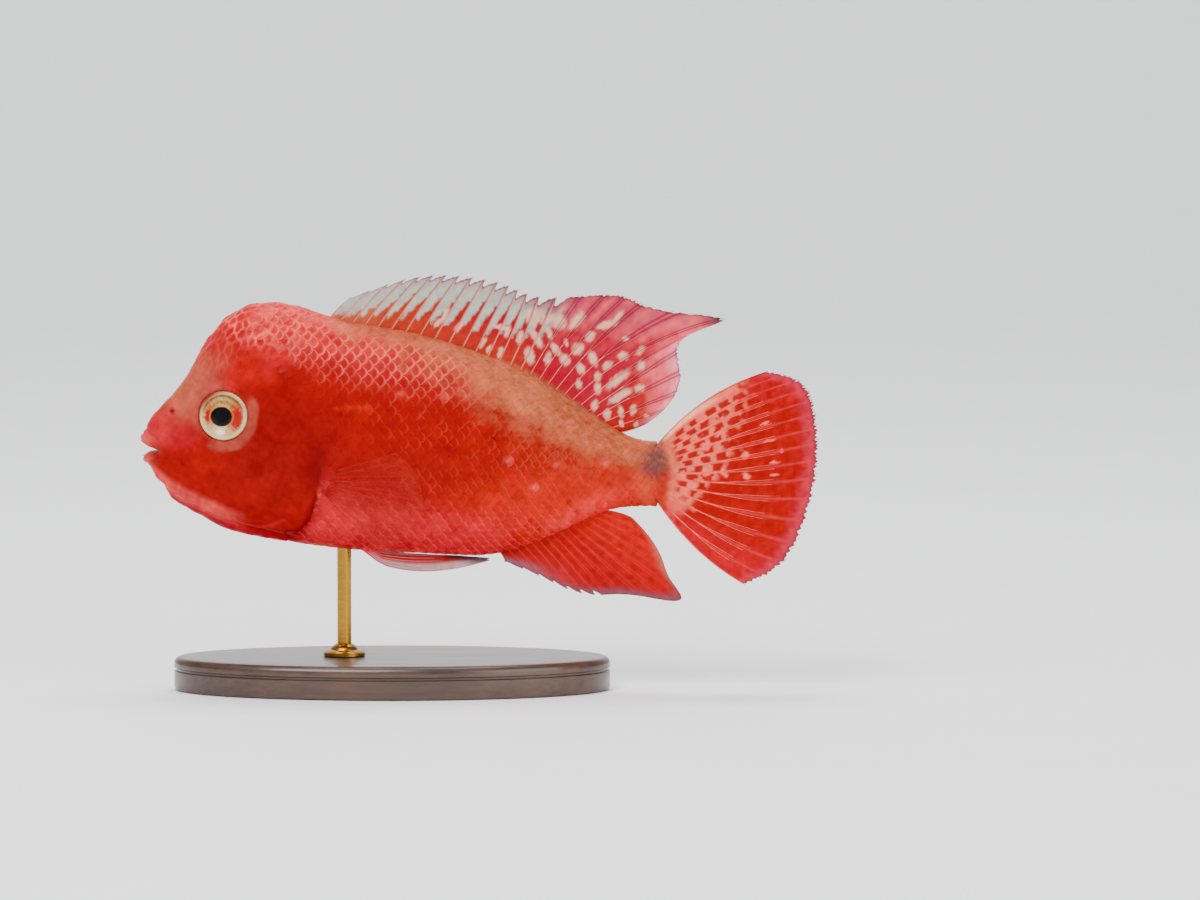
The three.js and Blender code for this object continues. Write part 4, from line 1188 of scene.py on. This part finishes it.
# Spots of the fins in side view: x, z, half length, half width, tilt in degrees
DORSAL_SPOTS = [
    (23.1, 88.0, 2.3, 1.1, 50), (26.2, 84.3, 1.3, 1.0, 45), (23.3, 81.4, 1.5, 1.2, 55),
    (26.9, 79.0, 1.8, 0.9, 112), (24.0, 76.7, 1.2, 0.9, 120), (30.4, 77.4, 1.2, 0.8, 45),
    (34.1, 79.6, 1.2, 1.0, 20), (38.1, 81.0, 1.3, 0.6, 45), (38.3, 77.4, 1.1, 0.9, 60),
    (32.8, 74.1, 3.2, 1.0, 40), (33.3, 70.1, 2.9, 0.9, 32), (38.0, 71.9, 1.1, 0.9, 40),
    (30.3, 65.8, 1.2, 0.8, 85), (33.5, 66.4, 1.4, 0.6, 100), (36.4, 66.8, 1.2, 0.7, 80),
    (39.6, 65.3, 0.6, 0.4, 0), (33.7, 63.6, 0.9, 0.5, 90), (37.3, 63.1, 0.8, 0.5, 90),
    (30.2, 87.1, 2.3, 0.8, 12), (32.6, 88.6, 2.2, 0.6, 50), (34.6, 83.8, 0.7, 0.5, 40),
    (20.3, 78.8, 1.4, 1.0, 120), (18.1, 81.2, 1.8, 0.8, 125), (19.0, 87.8, 1.7, 1.5, 80),
    (15.8, 88.4, 1.6, 1.1, 20), (16.5, 85.1, 1.5, 0.6, 110), (20.5, 82.9, 1.0, 0.5, 100),
    (28.0, 74.8, 1.2, 0.7, 90), (28.0, 71.9, 1.4, 0.7, 95), (27.3, 67.9, 1.3, 0.8, 80),
    (16.1, 79.1, 1.5, 0.7, 80), (13.5, 83.9, 2.3, 0.9, 120), (9.6, 84.1, 1.5, 0.9, 80),
    (11.8, 79.7, 1.9, 1.1, 100), (12.7, 89.1, 2.0, 1.8, 60), (4.9, 86.5, 1.9, 0.6, 170),
    (6.6, 85.6, 1.4, 0.6, 70), (0.8, 82.8, 1.4, 0.5, 60), (4.9, 80.4, 1.4, 0.6, 70),
    (-4.9, 86.7, 1.4, 0.6, 50), (-8.3, 89.3, 2.3, 0.6, 65), (-10.1, 87.5, 1.2, 0.5, 50),
    (2.3, 81.4, 1.1, 0.5, 60), (23.5, 73.0, 1.1, 0.7, 100)]
CAUDAL_SPOTS = [
    (53.8, 58.0, 1.1, 1.0, 60), (53.8, 51.9, 1.0, 0.9, 90), (58.1, 51.8, 1.2, 0.6, -60),
    (63.4, 51.0, 1.0, 0.7, -50), (57.9, 64.7, 0.8, 0.5, 20), (63.2, 56.0, 1.0, 0.7, 20),
    (48.3, 51.5, 0.8, 0.7, 90), (57.4, 61.2, 1.3, 0.5, 30), (70.1, 51.3, 0.9, 0.3, 0),
    (70.1, 54.3, 1.1, 0.3, 0), (68.8, 59.5, 1.6, 0.3, 8), (67.7, 63.6, 1.2, 0.3, 20),
    (71.9, 57.1, 0.5, 0.4, 0), (50.6, 48.9, 0.8, 1.1, 90)]


def spotted(middle, spots, soft=0.3):
    """1 inside any of the spots, with their rims a little uneven."""
    x = middle[..., 0] + 0.16 * ripple(middle, 1.1, 43)
    z = middle[..., 2] + 0.16 * ripple(middle, 1.1, 44)
    mask = np.zeros(x.shape)
    for spot_x, spot_z, long, wide, tilt in spots:
        mask = np.maximum(mask, oval(x, z, (spot_x, spot_z), (long, wide), tilt, soft))
    return mask


def beside_rays(q, inner, outer):
    """1 in a narrow stripe on both sides of every ray."""
    off = np.abs(q - np.round(q))
    return smoothstep(off, inner * 0.4 - 0.01, inner) * falling(off, outer, outer * 1.5)


def sheathed(tone, run, middle, length):
    """The body's own markings carried on over the root of a fin."""
    uneven = run + 0.25 * ripple(middle, 2.0, 45)
    return washed(tone, flesh_colour(middle), falling(uneven, 0.4 * length, length))


# Fin colours. Each takes the ray number, the share of the ray's length, the millimetres from the root and
# the place, and gives the colour and how opaque it is.

def dorsal_colour(q, v, run, middle):
    """Grey lobes on a rusty ground between the spines, and a pale-spotted red sheet behind them."""
    past = q - np.floor(q)
    x, z = middle[..., 0], middle[..., 2]
    uneven = ripple(middle, 3.0, 46)
    soft = smoothstep(q, 14.6, 16.4)
    low = falling(v, 0.1, 0.55)
    tongue = 0.30 + 0.10 * smoothstep(q, 2, 12) + 0.30 * smoothstep(past, 0.25, 0.95) * smoothstep(q, 1, 4)
    tongue = tongue + 0.14 * smoothstep(q, 10, 14) + 0.03 * uneven
    lobe = smoothstep(v - tongue + 0.05 * ripple(middle, 1.3, 49), -0.08, 0.08)
    rim = np.maximum(smoothstep(v, 0.94, 0.985), smoothstep(past, 0.80, 0.93) * smoothstep(v, 0.45, 0.75))
    ground = layered(
        paint(206, 74, 40),
        (paint(200, 34, 38), smoothstep(q, 4.5, 10.5)),
        (TAN, falling(q, 1.0, 5.0) * 0.8),
        (paint(214, 96, 60), low * 0.5),
        (BROWN, low * falling(q, 2, 7) * (0.3 + 0.2 * uneven)))
    grey = layered(
        paint(190, 190, 184),
        (paint(196, 150, 160), smoothstep(v, 0.72, 1) * 0.5),
        (paint(190, 120, 130), smoothstep(q, 11, 16) * smoothstep(v, 0.78, 0.95) * 0.9))
    outer = washed(paint(204, 96, 114), paint(224, 146, 150), smoothstep(q, 18.5, 22))
    soft_part = layered(
        paint(206, 52, 66),
        (paint(206, 52, 20), smoothstep(x + 1.2 * (84 - z), 40, 62) * 0.9),
        (paint(196, 30, 40), low * falling(x, 16, 27) * 0.7),
        (outer, smoothstep(v + 0.05 * uneven, 0.50, 0.82) * 0.9),
        (PALE_ROSE, bell(past - 0.5, 0.24) * smoothstep(v, 0.35, 0.75) * (0.30 + 0.15 * uneven)),
        (paint(236, 186, 188), smoothstep(v, 0.80, 1.0) * smoothstep(q, 21.2, 22.6) * 0.7))
    tone = layered(
        ground,
        (grey, lobe),
        (soft_part, soft),
        (paint(214, 190, 180), spotted(middle, DORSAL_SPOTS, 0.45) * 0.85),
        (paint(150, 16, 48), beside_rays(q, 0.05, 0.12) * smoothstep(v, 0.18, 0.45) * soft * 0.75),
        (paint(128, 44, 74), rim * 0.8 * smoothstep(q, -1, 3) * (1 - soft)),
        (paint(150, 110, 90), smoothstep(past, 0.82, 0.95) * (1 - lobe) * (1 - soft) * 0.5),
        (paint(70, 56, 66), bell(np.hypot(x - 58.0, z - 88.6), 4.6) * 0.85),
        (paint(96, 34, 52), smoothstep(v, 0.975, 1.0) * soft * 0.75),
        (paint(96, 40, 24), smoothstep(q, 26.2, 27) * 0.7))
    opaque = 1 - 0.10 * (1 - soft) * lobe - 0.08 * smoothstep(v, 0.85, 1)
    return sheathed(tone, run, middle, 1.3 + 1.9 * bell(q - 17, 5)), opaque


def ray_colour(pale, root, dark_edge, segment=0.0):
    """The way from share of length and place to a ray's colour, with dark joints a segment apart."""
    def colour(v, points):
        tone = layered(pale, (root, falling(v, 0, 0.25)), (dark_edge, smoothstep(v, 0.88, 1.0) * 0.7))
        if segment:
            joint = np.sin(2 * math.pi * np.linalg.norm(points, axis=-1) / segment)
            tone = washed(tone, dark_edge, smoothstep(joint, 0.4, 0.9) * 0.5)
        return tone
    return colour


def caudal_colour(q, v, run, middle):
    """Red blocks in rows between the rays, a pale mottled base and upper strip, and a dark rear edge."""
    x, z = middle[..., 0], middle[..., 2]
    uneven = ripple(middle, 2.2, 47)
    between, past = np.floor(q), q - np.floor(q)
    front = 59.5 - 7.0 * falling(z, 47, 55) - 6 * falling(z, 40, 47) + 3 * smoothstep(z, 60, 68)
    base = smoothstep(front - x + 1.6 * uneven, -2.2, 2.2)
    in_row = smoothstep(np.sin(1.5 * run + 2.6 * between + 0.9 * uneven), -0.5, 0.0)
    blocks = falling(np.abs(past - 0.5), 0.32, 0.44) * in_row * smoothstep(run, 3.5, 6.0)
    fine_lines = 0.5 + 0.5 * np.cos(10 * math.pi * q + 2 * uneven)
    upper_strip = falling(q, 0.5, 1.1) * falling(v, 0.40, 0.62)
    tone = layered(
        paint(204, 16, 4),
        (paint(214, 20, 50), smoothstep(np.abs(q - 7.5), 3.0, 6.5) * falling(q, 9, 12) * 0.8),
        (paint(222, 60, 56), fine_lines * smoothstep(v, 0.3, 0.6) * 0.28),
        (washed(mix(TAN, PALE_ROSE, 0.6), ROSE, 0.12 + 0.1 * uneven), base * 0.95),
        (paint(200, 12, 8), blocks * falling(q, 10.5, 12.5) * smoothstep(q, 0.6, 1.4) * 0.95),
        (PALE_ROSE, spotted(middle, CAUDAL_SPOTS) * 0.9),
        (paint(222, 66, 60), smoothstep(q, 11.8, 14.5) * (0.70 + 0.12 * uneven)),
        (paint(224, 188, 172), upper_strip * 0.9),
        (paint(222, 108, 98), beside_rays(q, 0.0, 0.05) * 0.55),
        (paint(222, 96, 106), smoothstep(v + 0.02 * uneven, 0.86, 0.98) * 0.75),
        (paint(110, 60, 76), smoothstep(v, 0.972, 1.0) * 0.75),
        (MAROON, falling(q, 0.02, 0.22) * 0.8),
        (SMUDGE, bell(np.hypot(x - 41.6, z - 54.4), 3.4) * (0.9 + 0.15 * uneven)))
    return sheathed(tone, run, middle, 4.4), 1 - 0.10 * smoothstep(v, 0.88, 1)


def anal_colour(q, v, run, middle):
    """Orange red, dusky towards the front and with a pale and dark rear corner."""
    uneven = ripple(middle, 2.4, 48)
    between, past = np.floor(q), q - np.floor(q)
    streaks = bell(past - 0.5, 0.2) * smoothstep(np.sin(1.3 * run + 2.1 * between), 0.1, 0.8)
    tone = layered(
        paint(208, 34, 30),
        (paint(224, 62, 20), smoothstep(q, 8, 14) * 0.9),
        (SCARLET, falling(v, 0.05, 0.3) * 0.6),
        (paint(224, 104, 84), beside_rays(q, 0.08, 0.16) * (0.16 + 0.08 * uneven)),
        (paint(176, 12, 14), streaks * smoothstep(q, 3, 7) * smoothstep(v, 0.1, 0.3) * 0.4),
        (paint(196, 96, 100), falling(q, 1.5, 7.0) * smoothstep(v, 0.35, 0.85) * 0.8),
        (paint(168, 128, 142), falling(q, 0.5, 4.0) * smoothstep(v, 0.45, 0.9) * 0.85),
        (paint(216, 140, 124), smoothstep(q, 11.0, 12.2) * smoothstep(v, 0.78, 0.98) * 0.7),
        (paint(140, 96, 112), smoothstep(v, 0.84, 0.98) * falling(q, 10, 12.5) * 0.75),
        (paint(90, 54, 66), smoothstep(v, 0.97, 1.0) * 0.6))
    return sheathed(tone, run, middle, 2.0), 1 - 0.15 * smoothstep(v, 0.8, 1)


def pelvic_colour(q, v, run, middle):
    """A pale leading edge, red behind it and dark at the tip."""
    tone = layered(
        paint(196, 180, 180),
        (paint(204, 30, 30), smoothstep(q, 1.4, 3.0) * 0.95),
        (paint(72, 62, 68), smoothstep(v, 0.80, 0.97) * 0.85))
    return sheathed(tone, run, middle, 2.5), 1 - 0.15 * smoothstep(v, 0.6, 1)


def pectoral_colour(_q, v, _run, _middle):
    """Almost clear, and redder and a little less clear at the root."""
    tone = washed(paint(226, 128, 112), paint(206, 44, 30), falling(v, 0.05, 0.35))
    return tone, 0.03 + 0.35 * falling(v, 0.0, 0.16)


def make_fin(node, at, plan, sheet, rods):
    """A fin's membrane, which takes the place of its CAD node, and its rays."""
    count, spines = plan["rays"], plan["spines"]
    membrane = make_membrane(node.replace("fin", "membrane"), at, count, spines=spines, **sheet)
    dress(membrane, MEMBRANE, "fin", node)
    rays = make_rays(node.replace("fin", "rays"), at, count, spines=spines, **rods)
    dress(rays, RAY, "fin")


def make_middle_fins():
    dark_edge = paint(104, 26, 46)
    make_fin("dorsal_fin", middle_fin(DORSAL), DORSAL,
             {"columns": 12, "rows": 84, "colour": dorsal_colour, "notch": 0.15, "fringe": 0.03},
             {"colour": ray_colour(paint(218, 156, 142), TAN, dark_edge), "thick": 0.15})
    make_fin("anal_fin", middle_fin(ANAL), ANAL,
             {"columns": 12, "rows": 60, "colour": anal_colour, "notch": 0.10},
             {"colour": ray_colour(paint(222, 84, 60), SCARLET, dark_edge), "thick": 0.16})
    make_fin("caudal_fin", middle_fin(CAUDAL), CAUDAL,
             {"columns": 16, "rows": 84, "colour": caudal_colour, "fringe": 0.03, "sheath": 1.9,
              "sheath_length": 6.5},
             {"colour": ray_colour(paint(230, 150, 138), TAN, paint(206, 70, 80), 1.1), "thick": 0.18})


def mirrored(at):
    return lambda q, v: at(q, v) * MIRROR


def make_paired_fins():
    pectoral, pelvic = pectoral_fin(), pelvic_fin()
    for side, turned in (("left", lambda at: at), ("right", mirrored)):
        make_fin(f"pectoral_fin_{side}", turned(pectoral), PECTORAL,
                 {"columns": 8, "rows": 36, "colour": pectoral_colour, "thin": 0.07, "sheath": 0.3,
                  "sheath_length": 1.5},
                 {"colour": ray_colour(paint(202, 52, 34), RED, SCARLET), "thick": 0.09})
        make_fin(f"pelvic_fin_{side}", turned(pelvic), PELVIC,
                 {"columns": 12, "rows": 44, "colour": pelvic_colour, "thin": 0.12},
                 {"colour": ray_colour(paint(206, 150, 150), ROSE, paint(80, 66, 72)), "thick": 0.2})


# The stand

def make_board():
    """The oval board: each edge line is how far it stands out from the board's rim, and its height."""
    bevel, height = BASE["bevel"], BASE["height"]
    edge_lines = [(-3.2, 0.0), (-0.9, 0.0), (-0.25, 0.25), (0.0, 0.9), (0.0, 4.6), (-0.45, 4.85),
                  (-0.45, 5.25), (0.0, 5.5)]
    edge_lines += [(-bevel * (1 - math.cos(a)), height - bevel * (1 - math.sin(a)))
                   for a in np.linspace(0, math.pi / 2, 9)]
    edge_lines += [(-4.0, height), (-12.0, height), (-20.0, height)]
    sides = 200
    turn = np.linspace(0, 2 * math.pi, sides, endpoint=False)
    half_length, half_width = BASE["length"] / 2, BASE["width"] / 2
    rings = []
    for out, z in edge_lines:
        x = BASE["x"] + (half_length + out) * np.cos(turn)
        rings.append(np.column_stack([x, (half_width + out) * np.sin(turn), np.full(sides, z)]))
    board = new_object("display_board", np.concatenate(rings), tube_faces(len(rings), sides))
    face_outwards(board)
    shade_smooth(board, 40)
    dress(board, WOOD, "base_wood", "stand_base")


def make_post():
    """The turned brass collar and the rod that goes up from it into the belly."""
    radius, rim, collar = ROD["radius"], ROD["collar_radius"], ROD["collar_height"]
    foot = BASE["height"] - 0.02
    profile = [(rim - 0.3, foot), (rim, foot + 0.25), (rim, foot + 0.9), (rim - 0.35, foot + 1.2),
               (rim - 1.2, foot + 1.45)]
    profile += [(radius + 1.5 * math.cos(a) ** 2 + 0.15, foot + 1.5 + (collar - 1.5) * math.sin(a))
                for a in np.linspace(0.1, math.pi / 2, 8)]
    profile += [(radius, foot + collar + 0.15), (radius, ROD["top"])]
    dress(revolve("brass_post", profile, (ROD["x"], 0.0)), BRASS, "rod_brass", "stand_rod")


# The studio

def make_sweep():
    """A pale paper sweep, flat below the model and curved up into a far wall."""
    half_width, bend, bend_start, wall_top = 8.0, 0.25, 1.85, 2.2
    arc = [(bend_start + bend * math.sin(a), bend * (1 - math.cos(a)))
           for a in np.linspace(0, math.pi / 2, 16)]
    run = [(-8.0, 0.0), *arc, (bend_start + bend, wall_top)]
    points = np.array([[x, y, z] for x in (-half_width, half_width) for y, z in run]) / MM
    count = len(run)
    faces = [[i, i + count, i + count + 1, i + 1] for i in range(count - 1)]
    sweep = new_object("studio_sweep", points, faces)
    sweep.data.shade_smooth()
    material, tree, shader = new_material("pale paper", Roughness=0.75)
    shade = add_node(tree, "ShaderNodeRGB")
    shade.outputs[0].default_value = (*paint(222, 228, 230), 1)
    uneven = ramp(tree, noise(tree, 30), 0.3, 0.7, 0.985, 1.01)
    tree.links.new(scaled_colour(tree, shade.outputs[0], uneven), shader.inputs["Base Color"])
    sweep.data.materials.append(material)


def light_room():
    """Soft light all round, and a square lamp for each row: name, place, aim, size and power."""
    world = bpy.data.worlds.new("soft room")
    bpy.context.scene.world = world
    world.use_nodes = True
    background = world.node_tree.nodes["Background"].inputs
    background["Color"].default_value = (0.86, 0.92, 0.95, 1)
    background["Strength"].default_value = 0.35
    fish, backdrop = (0.0, 0.0, 0.055), (0.0, 2.1, 0.5)
    lamps = [("key", (-0.35, -0.75, 0.85), fish, 0.7, 16.0),
             ("fill", (0.75, -0.75, 0.35), fish, 0.8, 7.0),
             ("top", (0.05, 0.25, 0.95), fish, 0.6, 7.0),
             ("backdrop light", (0.0, 0.9, 1.9), backdrop, 1.2, 34.0)]
    for name, place, aim, size, energy in lamps:
        light = bpy.data.lights.new(name, "AREA")
        light.size, light.energy = size, energy
        lamp = bpy.data.objects.new(name, light)
        lamp.location = place
        lamp.rotation_euler = (Vector(aim) - Vector(place)).to_track_quat("-Z", "Y").to_euler()
        bpy.context.scene.collection.objects.link(lamp)


def make_camera():
    """Square to the fish's left side and a little above it, framed as the photograph is."""
    lens, pixels_per_mm, elevation = 200.0, 4.2, math.radians(4.0)
    fish_px, frame_middle_px, lowest_fin_px = 480.0, (600.0, 450.0), 598.0
    lowest_fin = 22.0
    target = np.array([(frame_middle_px[0] - fish_px) / pixels_per_mm, 0.0,
                       lowest_fin + (lowest_fin_px - frame_middle_px[1]) / pixels_per_mm])
    distance = lens / SENSOR * PHOTO_WIDTH / pixels_per_mm
    away = np.array([0, -math.cos(elevation), math.sin(elevation)])
    data = bpy.data.cameras.new("camera")
    data.lens, data.sensor_width = lens, SENSOR
    data.clip_start, data.clip_end = 0.01, 20.0
    camera = bpy.data.objects.new("camera", data)
    camera.location = Vector((target + distance * away) * MM)
    camera.rotation_euler = (math.pi / 2 - elevation, 0, 0)
    bpy.context.scene.collection.objects.link(camera)
    bpy.context.scene.camera = camera


make_camera()
make_sweep()
light_room()
make_board()
make_post()
skin = make_skin()
make_scales(skin, -1, "scales_left")
make_scales(skin, 1, "scales_right")
make_eye(-1, "eyeball_left", "eye_left")
make_eye(1, "eyeball_right", "eye_right")
make_middle_fins()
make_paired_fins()
